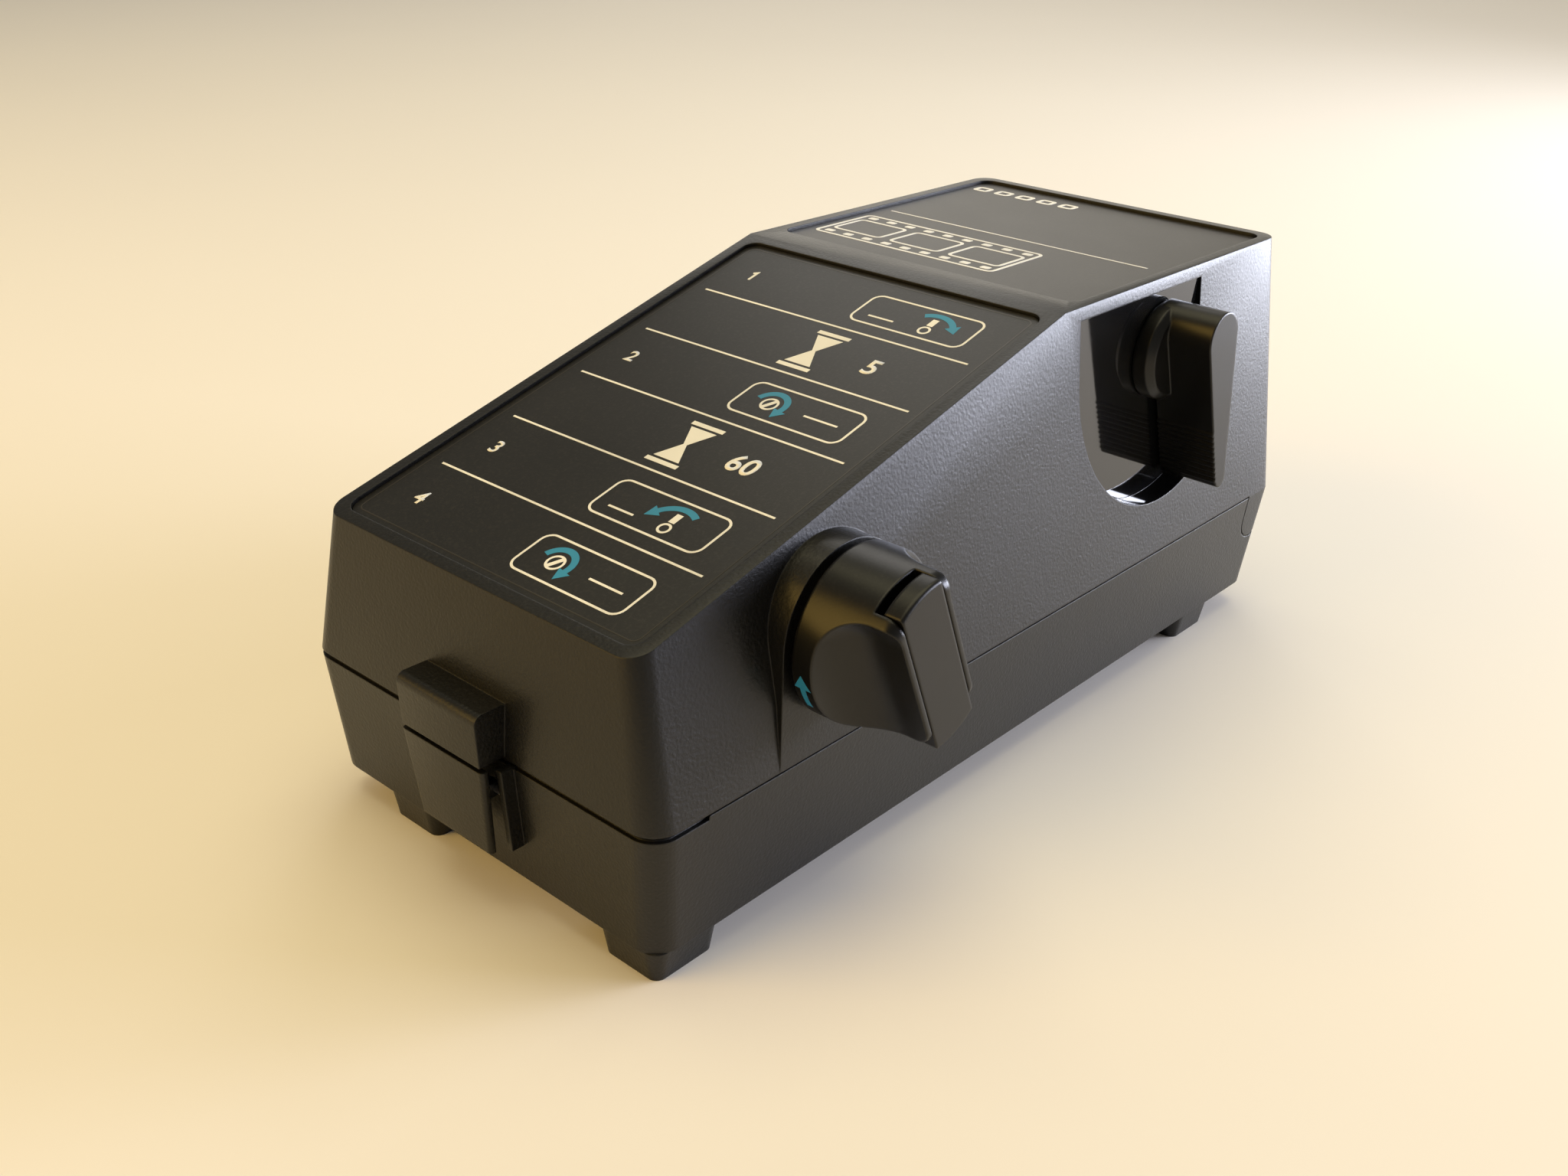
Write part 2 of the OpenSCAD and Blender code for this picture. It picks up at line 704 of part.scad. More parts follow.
module base_shell() color(case_black) in_frame() difference() {
  union() {
    difference() {
      base_form(0, base_z, part_z);
      base_form(wall, floor_z, part_z + past);
      translate([-far / 2, -far / 2, base_top_z]) cube([far * 2, far, far]);
      intersection() {
        plan_ring(part_z - groove, part_z + past, -far / 8, groove);
        translate([-far / 2, -far / 2, 0]) cube([far / 2 + groove_run, far, far]);
      }
    }
    feet();
    latch_ribs();
    hinge_blocks();
    intersection() {
      union() {
        plan_ring(part_z - lip_foot, base_top_z, wall - sliver, wall + lip_gap + lip_t);
        plan_ring(part_z - lip_foot, part_z + lip_h, wall + lip_gap, wall + lip_gap + lip_t);
      }
      translate([0, -far / 2, 0]) cube([lip_run, far, far]);
    }
  }
  for (y = [[-far, -knuckle_in + knuckle_gap], [knuckle_in - knuckle_gap, far]])
    across(y[0], y[1]) hinge_room_2d();
  across(-far, far) difference() {
    translate([hinge_x, hinge_z]) square([far, far]);
    translate([hinge_x, hinge_z]) circle(r = rear_sweep_r);
  }
  for (s = [-1, 1])
    rod(hinge_x, hinge_z,
        s > 0 ? knuckle_in - hinge_pin_hold : -far,
        s > 0 ? far : -knuckle_in + hinge_pin_hold,
        hinge_pin_r);
  rod(latch_pin_x, latch_pin_z, -rib_hold, rib_hold, latch_pin_r);
  for (x = tray_screw_x, y = [-tray_screw_y, tray_screw_y])
    translate([x, y, floor_z - screw_hold - 0.2]) cylinder(r = screw_r + screw_fit, h = far);
}

module inner_tray() color(inner_black) in_frame() difference() {
  union() {
    translate([(tray_x0 + tray_x1) / 2, 0, floor_z]) linear_extrude(height = tray_t)
      rounded_rect(tray_x1 - tray_x0, tray_w, 4);
    for (y = [near_out, far_in])
      across(y, y + bearing_t) {
        translate([rail_x, floor_z + sliver])
          square([pack_x - pack_l / 2 - rail_x, rail_top - floor_z]);
        post_2d(drum_x, drum_z, drum_post_r);
        post_2d(cassette_x, cassette_z, fork_post_r);
        post_2d(front_roller_x, front_roller_z, roller_post_r);
        post_2d(rear_roller_x, rear_roller_z, roller_post_r);
      }
    across(near_in - sliver, far_in + sliver) difference() {
      translate([cassette_x - cassette_r - tray_t, floor_z + sliver])
        square([2 * (cassette_r + tray_t), cassette_z - floor_z - cassette_r * 0.35]);
      translate([cassette_x, cassette_z]) circle(r = cassette_r);
    }
    translate([pack_x, 0, floor_z + sliver]) linear_extrude(height = well_top - floor_z) difference() {
      rounded_rect(pack_l + 2 * tray_t, pack_w + 2 * tray_t, 3);
      rounded_rect(pack_l, pack_w, 1.5);
    }
  }
  rod(drum_x, drum_z, -far, far, drum_shaft_r + run_fit);
  rod(cassette_x, cassette_z, -far, near_in + past, rewind_r + run_fit);
  rod(front_roller_x, front_roller_z, -far, far, journal_r + run_fit);
  rod(rear_roller_x, rear_roller_z, -far, far, journal_r + run_fit);
  for (x = tray_screw_x, y = [-tray_screw_y, tray_screw_y])
    translate([x, y, 0]) cylinder(r = screw_r + screw_fit, h = far);
}

module tray_screws() color(steel) in_frame()
  for (x = tray_screw_x, y = [-tray_screw_y, tray_screw_y])
    translate([x, y, floor_z - screw_hold]) {
      cylinder(r = screw_r, h = tray_t + screw_hold + sliver);
      translate([0, 0, tray_t + screw_hold]) cylinder(r = screw_head_r, h = screw_head_h);
    }

module hinge_pins() color(steel) in_frame()
  for (s = [-1, 1])
    rod(hinge_x, hinge_z,
        s > 0 ? knuckle_in - hinge_pin_hold : -knuckle_in - hinge_pin_reach,
        s > 0 ? knuckle_in + hinge_pin_reach : -knuckle_in + hinge_pin_hold,
        hinge_pin_r);

module latch_pin() color(steel) in_frame()
  rod(latch_pin_x, latch_pin_z, -rib_hold, rib_hold, latch_pin_r);

// return spring of the latch, one open coil round its pin
function coil_mid(i) =
  let (a = 360 * i / spring_rings)
    [spring_r * cos(a), spring_l * (i / (spring_turns * spring_rings) - 0.5), spring_r * sin(a)];
function coil_ring(i) =
  let (a = 360 * i / spring_rings, c = coil_mid(i))
    [for (k = [0:wire_sides - 1])
      let (b = 360 * k / wire_sides, w = spring_wire / 2)
        c + [w * cos(b) * cos(a), w * sin(b), w * cos(b) * sin(a)]];

module latch_spring() color(steel) in_frame() {
  count = spring_turns * spring_rings;
  rise = [for (i = [0:count - spring_rings]) norm(coil_mid(i + spring_rings) - coil_mid(i))];
  turn_gap = min(rise) - spring_wire;
  echo(latch_spring_gap = turn_gap);
  points = [for (i = [0:count]) each coil_ring(i)];
  sides = [
    for (i = [0:count - 1], k = [0:wire_sides - 1])
      let (
        a = i * wire_sides + k,
        b = i * wire_sides + (k + 1) % wire_sides,
        c = a + wire_sides,
        d = b + wire_sides
      )
        each [[a, b, d], [a, d, c]]
  ];
  start = [for (k = [1:wire_sides - 2]) [0, k + 1, k]];
  end = [for (k = [1:wire_sides - 2]) [0, k, k + 1] + [1, 1, 1] * count * wire_sides];
  translate([latch_pin_x, 0, latch_pin_z]) polyhedron(points = points, faces = concat(sides, start, end));
}

// lid moulding

module knob_pad() {
  across(pad_y, pad_y + 2 * wall + knob_r * 2 * side_lean) {
    translate([crank_x, crank_z]) circle(r = knob_r);
    translate([crank_x - knob_r, part_z]) square([2 * knob_r, crank_rise]);
  }
}

module latch_tab() {
  difference() {
    across(-tab_w / 2, tab_w / 2) {
      polygon([
        [wall / 2, tab_low],
        [-tab_out, tab_low],
        [-tab_out - tab_tilt, tab_top - tab_round],
        [-tab_out - tab_tilt + tab_round, tab_top - tab_round],
        [-tab_out - tab_tilt + tab_round, tab_top],
        [wall / 2, tab_top]
      ]);
      translate([-tab_out - tab_tilt + tab_round, tab_top - tab_round]) circle(r = tab_round);
    }
    translate([-tab_out + tab_skin, -tab_w / 2 + tab_skin, tab_low - past])
      cube([tab_out - tab_skin, tab_w - 2 * tab_skin, tab_h - tab_skin + past]);
  }
  across(-hook_w / 2 - 1, hook_w / 2 + 1)
    polygon([
      [wall / 2, lip_top - 3],
      [-lip_reach, lip_top - 1.2],
      [-lip_reach, lip_top],
      [wall / 2, lip_top]
    ]);
}

module hinge_knuckles() {
  intersection() {
    for (y = [-knuckle_out - 2, knuckle_in])
      across(y, y + knuckle_t + 2) knuckle_2d(0);
    union() {
      base_form(0, base_z, part_z + sliver);
      lid_form(0, 0);
    }
  }
}

module lid_shell() color(case_black) in_frame() difference() {
  union() {
    difference() {
      union() {
        lid_form(0, 0);
        knob_pad();
      }
      lid_form(wall, wall + panel_pocket);
      slope_plate(-panel_pocket, past, 0);
      top_plate(-panel_pocket, past, 0);
      translate([-far / 2, -far / 2, lid_low_z - far]) cube([far * 2, far, far]);
    }
    latch_tab();
    hinge_knuckles();
    intersection() {
      across(-far, floor_y) recess_2d(tray_t);
      lid_form(wall / 2, wall);
    }
  }
  across(-far, floor_y + dish_t) recess_2d(0);
  rod(crank_x, crank_z, -far, 0, bush_r + screw_fit);
  for (s = [-1, 1])
    rod(hinge_x, hinge_z,
        s > 0 ? knuckle_in - past : -knuckle_in - hinge_pin_reach - pass_gap,
        s > 0 ? knuckle_in + hinge_pin_reach + pass_gap : -knuckle_in + past,
        hinge_pin_r + run_fit);
}

module slope_panel() color(panel_grey) in_frame()
  slope_plate(-panel_pocket, -panel_pocket + panel_t, panel_fit);

module top_panel() color(panel_grey) in_frame()
  top_plate(-panel_pocket, -panel_pocket + panel_t, panel_fit);

module lever_dish() color(gloss_black) in_frame() difference() {
  union() {
    intersection() {
      across(floor_y + sliver, floor_y + dish_t) recess_2d(tray_t + dish_lap);
      lid_form(wall + screw_fit, wall + panel_pocket + screw_fit);
    }
    across(floor_y, floor_y + dish_t) recess_2d(-panel_fit);
    rod(lever_x, lever_z, floor_y + dish_t - sliver, floor_y + dish_t + boss_l, boss_r);
  }
  rod(lever_x, lever_z, -far, 0, lever_shaft_r + run_fit);
  for (x = [guide_x0 - guide_ear / 2, guide_x1 + guide_ear / 2])
    rod(x, guide_screw_z, guide_y0 - dish_hold - 0.2, 0, screw_r + screw_fit);
}

module crank_bush() color(inner_black) in_frame() difference() {
  union() {
    rod(crank_x, crank_z, pad_y - sliver, bush_end_y, bush_r);
    rod(crank_x, crank_z, pad_y - bush_flange_t, pad_y, bush_flange_r);
  }
  rod(crank_x, crank_z, -far, 0, crank_shaft_r + run_fit);
}

module press_guide() color(nylon_white) in_frame() difference() {
  union() {
    translate([guide_x0, guide_y0, guide_low])
      cube([guide_x1 - guide_x0, guide_y1 - guide_y0, guide_high - guide_low]);
    across(guide_y0, guide_y0 + guide_ear_t) {
      for (x = [guide_x0 - guide_ear / 2, guide_x1 + guide_ear / 2])
        translate([x, guide_screw_z]) circle(r = guide_ear / 2);
      translate([guide_x0 - guide_ear / 2, guide_screw_z - guide_ear / 2])
        square([guide_x1 - guide_x0 + guide_ear, guide_ear]);
    }
  }
  translate([bar_x0 - pass_gap, rack_y - pass_gap, 0])
    cube([rack_x + rack_module - bar_x0 + 2 * pass_gap, rack_w + 2 * pass_gap, far]);
  for (x = [guide_x0 - guide_ear / 2, guide_x1 + guide_ear / 2])
    rod(x, guide_screw_z, -far, far, screw_r + screw_fit);
}

module guide_screws() color(steel) in_frame()
  for (x = [guide_x0 - guide_ear / 2, guide_x1 + guide_ear / 2]) {
    rod(x, guide_screw_z, guide_y0 - dish_hold, guide_y0 + guide_ear_t + sliver, screw_r);
    rod(x, guide_screw_z, guide_y0 + guide_ear_t, guide_y0 + guide_ear_t + screw_head_h, screw_head_r);
  }

// latch plate with its lugs and hook, rocking on the latch pin

module latch_lever() color(case_black) in_frame() difference() {
  union() {
    intersection() {
      across(-latch_w, latch_w)
        polygon([
          [-tab_out, latch_top],
          [-tab_out + latch_t, latch_top],
          [-tab_out + latch_t + latch_lean, latch_low],
          [-tab_out + latch_lean, latch_low]
        ]);
      rotate([90, 0, 90]) translate([0, 0, -far / 2]) linear_extrude(height = far)
        polygon([
          [-latch_w / 2, latch_top],
          [latch_w / 2, latch_top],
          [latch_foot_w / 2, latch_low],
          [-latch_foot_w / 2, latch_low]
        ]);
    }
    for (y = [-lug_at - lug_t, lug_at])
      across(y, y + lug_t) {
        translate([latch_pin_x, latch_pin_z]) circle(r = lug_r);
        translate([-tab_out + latch_t / 2, latch_pin_z - lug_r])
          square([tab_out - latch_t / 2 + latch_pin_x, 2 * lug_r]);
      }
    across(-hook_w / 2, hook_w / 2)
      polygon([
        [-tab_out + latch_t / 2, latch_top - 2.6],
        [hook_x, latch_top - 2.6],
        [hook_x, hook_low],
        [hook_x + pass_gap + hook_in, hook_low],
        [hook_x + pass_gap + hook_in, hook_low + 0.6],
        [hook_x - hook_t + 0.4, hook_high],
        [hook_x - hook_t, hook_high],
        [hook_x - hook_t, latch_top - 0.8],
        [-tab_out + latch_t / 2, latch_top - 0.8]
      ]);
  }
  rod(latch_pin_x, latch_pin_z, -far, far, latch_pin_r + run_fit);
}

// crank

module on_crank() {
  on_side(crank_x, knob_y, crank_z) rotate([0, 0, knob_turn]) children();
}

module knob_form(edge) {
  rotate_extrude() {
    square([knob_r, knob_h - edge]);
    square([knob_r - edge, knob_h]);
    intersection() {
      translate([knob_r - edge, knob_h - edge]) circle(r = edge);
      square([knob_r, knob_h]);
    }
  }
}

// finger scoop beside the grip bar: a round-nosed channel that runs out at the bar's lower end
module scoop(s) {
  translate([s * scoop_at, scoop_start, scoop_h]) {
    sphere(r = scoop_r);
    rotate([90, 0, 0]) cylinder(r = scoop_r, h = far / 4);
    cylinder(r = scoop_r, h = far / 4);
    translate([-scoop_r, -far / 4, 0]) cube([2 * scoop_r, far / 4, far / 4]);
  }
}

// bar along the axis of the handle pin
module at_handle_pin(l, r) {
  translate([-l / 2, -handle_pin_at, handle_pin_h]) rotate([0, 90, 0]) cylinder(r = r, h = l);
}

module crank_knob() color(gloss_black) in_frame() on_crank() difference() {
  knob_form(knob_round);
  for (s = [-1, 1]) scoop(s);
  translate([-slot_w / 2, -far / 2, slot_floor]) cube([slot_w, far, far]);
  translate([0, 0, -past]) cylinder(r = crank_shaft_r, h = knob_hole + past);
  at_handle_pin(slot_w, heel_r + pass_gap);
  at_handle_pin(handle_pin_l, handle_pin_r);
}

module crank_shaft() color(steel) in_frame() difference() {
  rod(crank_x, crank_z, knob_y - knob_hole, shaft_end_y, crank_shaft_r);
  rod(crank_x, crank_z, shaft_end_y - gear_screw_l - past, shaft_end_y + past, screw_r + screw_fit);
}

module crank_gear() color(nylon_white) in_frame() difference() {
  on_side(crank_x, gear_end_y, crank_z) linear_extrude(height = gear_w)
    rotate(crank_gear_turn) gear_2d(train_module, crank_teeth, backlash);
  rod(crank_x, crank_z, gear_y - past, gear_end_y + past, crank_shaft_r);
}

module gear_screw() color(steel) in_frame() {
  rod(crank_x, crank_z, shaft_end_y - gear_screw_l, gear_end_y, screw_r);
  rod(crank_x, crank_z, gear_end_y, gear_end_y + gear_screw_h, crank_shaft_r + 1.4);
}

module crank_handle() color(gloss_black) in_frame() on_crank() difference() {
  intersection() {
    union() {
      knob_form(handle_round);
      intersection() {
        cylinder(r = handle_reach, h = knob_h);
        translate([-far / 2, -far, 0]) cube([far, far, far]);
      }
    }
    translate([-handle_w / 2, -far / 2, handle_low]) cube([handle_w, far, far]);
  }
  at_handle_pin(far, handle_pin_r + run_fit);
}

module handle_pin() color(steel) in_frame() on_crank() at_handle_pin(handle_pin_l, handle_pin_r);

// lever

// outline of the lever: two circles joined by their outer tangents, with grip ridges on the front flank
module lever_2d() {
  turn = [cos(lever_slant), -sin(lever_slant)];
  flip = [-cos(lever_slant), -sin(lever_slant)];
  up_flank = [-sin(lever_slant), cos(lever_slant)];
  head = [0, lever_head_y];
  tip = [0, lever_tip_y];
  translate(head) circle(r = lever_head_r);
  translate(tip) circle(r = lever_tip_r);
  polygon([
    head + lever_head_r * turn,
    tip + lever_tip_r * turn,
    tip + lever_tip_r * flip,
    head + lever_head_r * flip
  ]);
  for (i = [0:ridges - 1])
    translate(tip + (lever_tip_r - ridge_sunk) * flip + (i + 0.5) * ridge_pitch * up_flank)
      circle(r = ridge_r, $fn = 16);
}

module lever() color(gloss_black) in_frame() difference() {
  union() {
    on_side(lever_x, lever_in_y, lever_z) rotate([0, 0, lever_lean]) translate([lever_off, 0, 0])
      linear_extrude(height = lever_w) lever_2d();
    rod(lever_x, lever_z, hub_out_y + hub_round, hub_in_y, hub_r);
    on_side(lever_x, hub_out_y + hub_round + sliver, lever_z)
      cylinder(r1 = hub_r, r2 = hub_r - hub_round, h = hub_round + sliver);
  }
  rod(lever_x, lever_z, hub_out_y + hub_skin, 0, lever_shaft_r);
}

module lever_shaft() color(steel) in_frame()
  rod(lever_x, lever_z, hub_out_y + hub_skin, pinion_end_y, lever_shaft_r);

module lever_pinion() color(nylon_white) in_frame() difference() {
  on_side(lever_x, pinion_end_y, lever_z) linear_extrude(height = pinion_w)
    rotate(180) gear_2d(rack_module, pinion_teeth, backlash);
  rod(lever_x, lever_z, pinion_y - past, pinion_end_y + past, lever_shaft_r);
}

// press

module press_bar() color(nylon_white) in_frame() union() {
  translate([bar_x0, rack_y, press_low + press_pad_t - sliver])
    cube([bar_t, rack_w, rack_top - press_low - press_pad_t + sliver]);
  across(rack_y, rack_y + rack_w) translate([rack_x, lever_z])
    rack_2d(rack_module, guide_low - lever_z, rack_top - lever_z, backlash);
}

module press_pad() color(roller_grey) in_frame()
  translate([bar_x0 + bar_t / 2, rack_y + press_pad_w / 2, press_low])
    linear_extrude(height = press_pad_t - sliver) rounded_rect(press_pad_l, press_pad_w, press_pad_r);

// film path

module takeup_drum() color(inner_black) in_frame() {
  on_side(drum_x, near_in + pass_gap + drum_l, drum_z) difference() {
    union() {
      rotate_extrude() polygon([
        [drum_r - drum_wall, 0],
        [drum_flange_r, 0],
        [drum_flange_r, flange_t],
        [drum_r, flange_t],
        [drum_r, drum_l - flange_t],
        [drum_flange_r, drum_l - flange_t],
        [drum_flange_r, drum_l],
        [drum_r - drum_wall, drum_l],
        [drum_r - drum_wall, (drum_l + drum_web) / 2],
        [drum_hub_r, (drum_l + drum_web) / 2],
        [drum_hub_r, drum_l],
        [drum_shaft_r, drum_l],
        [drum_shaft_r, 0],
        [drum_hub_r, 0],
        [drum_hub_r, (drum_l - drum_web) / 2],
        [drum_r - drum_wall, (drum_l - drum_web) / 2]
      ]);
      translate([0, 0, drum_l / 2]) rotate([0, -90, 0]) cylinder(r = drum_peg_r, h = drum_r + drum_peg_out);
    }
    cylinder(r = drum_shaft_r, h = far);
  }
}

module drum_shaft() color(steel) in_frame()
  rod(drum_x, drum_z, gear_y, far_out + 1.5, drum_shaft_r);

module drum_gear() color(nylon_white) in_frame() difference() {
  on_side(drum_x, gear_end_y, drum_z) linear_extrude(height = gear_w)
    rotate(drum_gear_turn) gear_2d(train_module, drum_teeth, backlash);
  rod(drum_x, drum_z, gear_y - past, gear_end_y + past, drum_shaft_r);
}

module rewind_fork() color(steel) in_frame() difference() {
  rod(cassette_x, cassette_z, gear_y, near_in + fork_l, rewind_r);
  translate([cassette_x - far / 2, near_in + fork_l - fork_grip, cassette_z - fork_slot / 2])
    cube([far, fork_l, fork_slot]);
}

module rewind_gear() color(nylon_white) in_frame() difference() {
  on_side(cassette_x, gear_end_y, cassette_z) linear_extrude(height = gear_w)
    gear_2d(train_module, rewind_teeth, backlash);
  rod(cassette_x, cassette_z, gear_y - past, gear_end_y + past, rewind_r);
}

module guide_roller(x, z) {
  rod(x, z, near_in + pass_gap, far_in - pass_gap, roller_r);
  rod(x, z, near_out, far_out, journal_r);
}

module guide_roller_front() color(roller_grey) in_frame() guide_roller(front_roller_x, front_roller_z);

module guide_roller_rear() color(roller_grey) in_frame() guide_roller(rear_roller_x, rear_roller_z);

base_shell();
inner_tray();
tray_screws();
hinge_pins();
latch_pin();
latch_spring();
lid_shell();
slope_panel();
top_panel();
lever_dish();
crank_bush();
press_guide();
guide_screws();
latch_lever();
crank_knob();
crank_shaft();
crank_gear();
gear_screw();
crank_handle();
handle_pin();
lever();
lever_shaft();
lever_pinion();
press_bar();
press_pad();
takeup_drum();
drum_shaft();
drum_gear();
rewind_fork();
rewind_gear();
guide_roller_front();
guide_roller_rear();
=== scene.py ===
"""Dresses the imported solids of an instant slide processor, and sets its stage, light and camera.

Lengths are millimetres of the drawing unless a name says otherwise: x runs back from the front wall at
the parting line, y from the middle of the case, and z up from the table. Drawing.at turns them into
metres of the shared frame.
"""

import logging
import math
from collections.abc import Callable, Sequence
from dataclasses import dataclass
from enum import Enum
from typing import Protocol, Union

import bmesh
import bpy
from mathutils import Matrix, Vector


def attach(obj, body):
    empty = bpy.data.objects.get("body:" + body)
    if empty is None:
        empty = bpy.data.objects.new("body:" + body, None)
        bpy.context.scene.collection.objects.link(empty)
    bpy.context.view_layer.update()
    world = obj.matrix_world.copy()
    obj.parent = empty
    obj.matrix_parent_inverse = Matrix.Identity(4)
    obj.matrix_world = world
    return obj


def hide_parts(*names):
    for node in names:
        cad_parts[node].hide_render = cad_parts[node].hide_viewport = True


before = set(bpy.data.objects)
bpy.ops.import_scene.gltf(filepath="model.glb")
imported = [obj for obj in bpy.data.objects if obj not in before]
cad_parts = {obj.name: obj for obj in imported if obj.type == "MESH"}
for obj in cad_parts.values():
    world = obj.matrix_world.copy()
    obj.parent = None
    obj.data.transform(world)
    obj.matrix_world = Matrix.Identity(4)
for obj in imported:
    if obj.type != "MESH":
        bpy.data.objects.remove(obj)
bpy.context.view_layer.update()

log = logging.getLogger("slide_processor")

MM = 0.001

# Cosines by which a face is said to look along a direction, away from it, or square to it.
FACING = 0.9
ASIDE = 0.5
ACROSS = 0.1

DUST_COLOUR = (0.42, 0.39, 0.35, 1.0)
COAT_ROUGHNESS = 0.24
# Shares of a moulding's colour and of a metal's roughness at the two ends of their cloudy variation.
MOULDED_SHADES = (0.85, 1.15)
METAL_POLISH = (0.8, 1.3)

Colour = tuple[float, float, float]
Place = tuple[float, float, float]
Flat = tuple[float, float]
Socket = bpy.types.NodeSocket
Feed = Union[Socket, float, tuple]


class NodeBoard:
    """Places and joins the nodes of one shader tree."""

    def __init__(self, tree: bpy.types.NodeTree) -> None:
        """Keeps the tree that the nodes go in."""
        self.tree = tree

    def add(self, kind: str, feeds: dict[Union[str, int], Feed], **settings: object) -> bpy.types.Node:
        """Adds one node.

        Args:
            kind: the node's type in Blender.
            feeds: what each named or numbered input takes, a value or another node's output.
            settings: properties of the node.

        Returns:
            The new node.
        """
        node = self.tree.nodes.new(kind)
        for name, value in settings.items():
            setattr(node, name, value)
        self.feed(node, feeds)
        return node

    def feed(self, node: bpy.types.Node, feeds: dict[Union[str, int], Feed]) -> None:
        """Joins outputs to a node's inputs, or sets the inputs' own values.

        Args:
            node: the node.
            feeds: what each named or numbered input takes, a value or another node's output.
        """
        for key, value in feeds.items():
            if isinstance(value, Socket):
                self.tree.links.new(value, node.inputs[key])
            else:
                node.inputs[key].default_value = value

    def math(self, operation: str, *feeds: Feed) -> Socket:
        """Adds a sum of one kind.

        Args:
            operation: Blender's name of the sum.
            feeds: its inputs, in order.

        Returns:
            The result.
        """
        inputs = dict(enumerate(feeds))
        return self.add("ShaderNodeMath", inputs, operation=operation).outputs[0]

    def remap(self, value: Feed, source: Flat, target: Flat = (0.0, 1.0)) -> Socket:
        """Stretches one range of values over another and holds the rest at its ends.

        Args:
            value: what is stretched.
            source: the range that it comes from.
            target: the range that it goes to.

        Returns:
            The stretched value.
        """
        node = self.add("ShaderNodeMapRange", dict(enumerate((value, *source, *target))))
        return node.outputs[0]

    def mix(self, share: Feed, first: Feed, second: Feed) -> Socket:
        """Mixes two colours.

        Args:
            share: share of the second colour.
            first: colour where the share is 0.
            second: colour where the share is 1.

        Returns:
            The mixed colour.
        """
        feeds = {0: share, 6: first, 7: second}
        return self.add("ShaderNodeMix", feeds, data_type="RGBA").outputs[2]

    def place(self) -> Socket:
        """Gives the place on the object, in its own axes."""
        return self.add("ShaderNodeTexCoord", {}).outputs["Object"]

    def noise(self, place: Socket, size: Socket, detail: float) -> Socket:
        """Adds cloudy noise whose lumps have the given size."""
        feeds = {"Vector": place, "Scale": self.math("DIVIDE", 1.0, size), "Detail": detail}
        return self.add("ShaderNodeTexNoise", feeds).outputs["Fac"]

    def bump(self, depth: float, height: Socket, normal: Socket) -> Socket:
        """Raises a relief on a normal.

        Args:
            depth: depth of the relief.
            height: the relief's height, from 0 to 1.
            normal: the normal that it stands on.

        Returns:
            The new normal.
        """
        feeds = {"Strength": 1.0, "Distance": depth * MM, "Height": height, "Normal": normal}
        return self.add("ShaderNodeBump", feeds).outputs[0]


class Effect(Enum):
    """Surface effects that several finishes share."""

    GRAIN = "moulded_grain"
    EDGES = "softened_edges"
    DUST = "settled_dust"
    DRAWN = "drawn_lines"


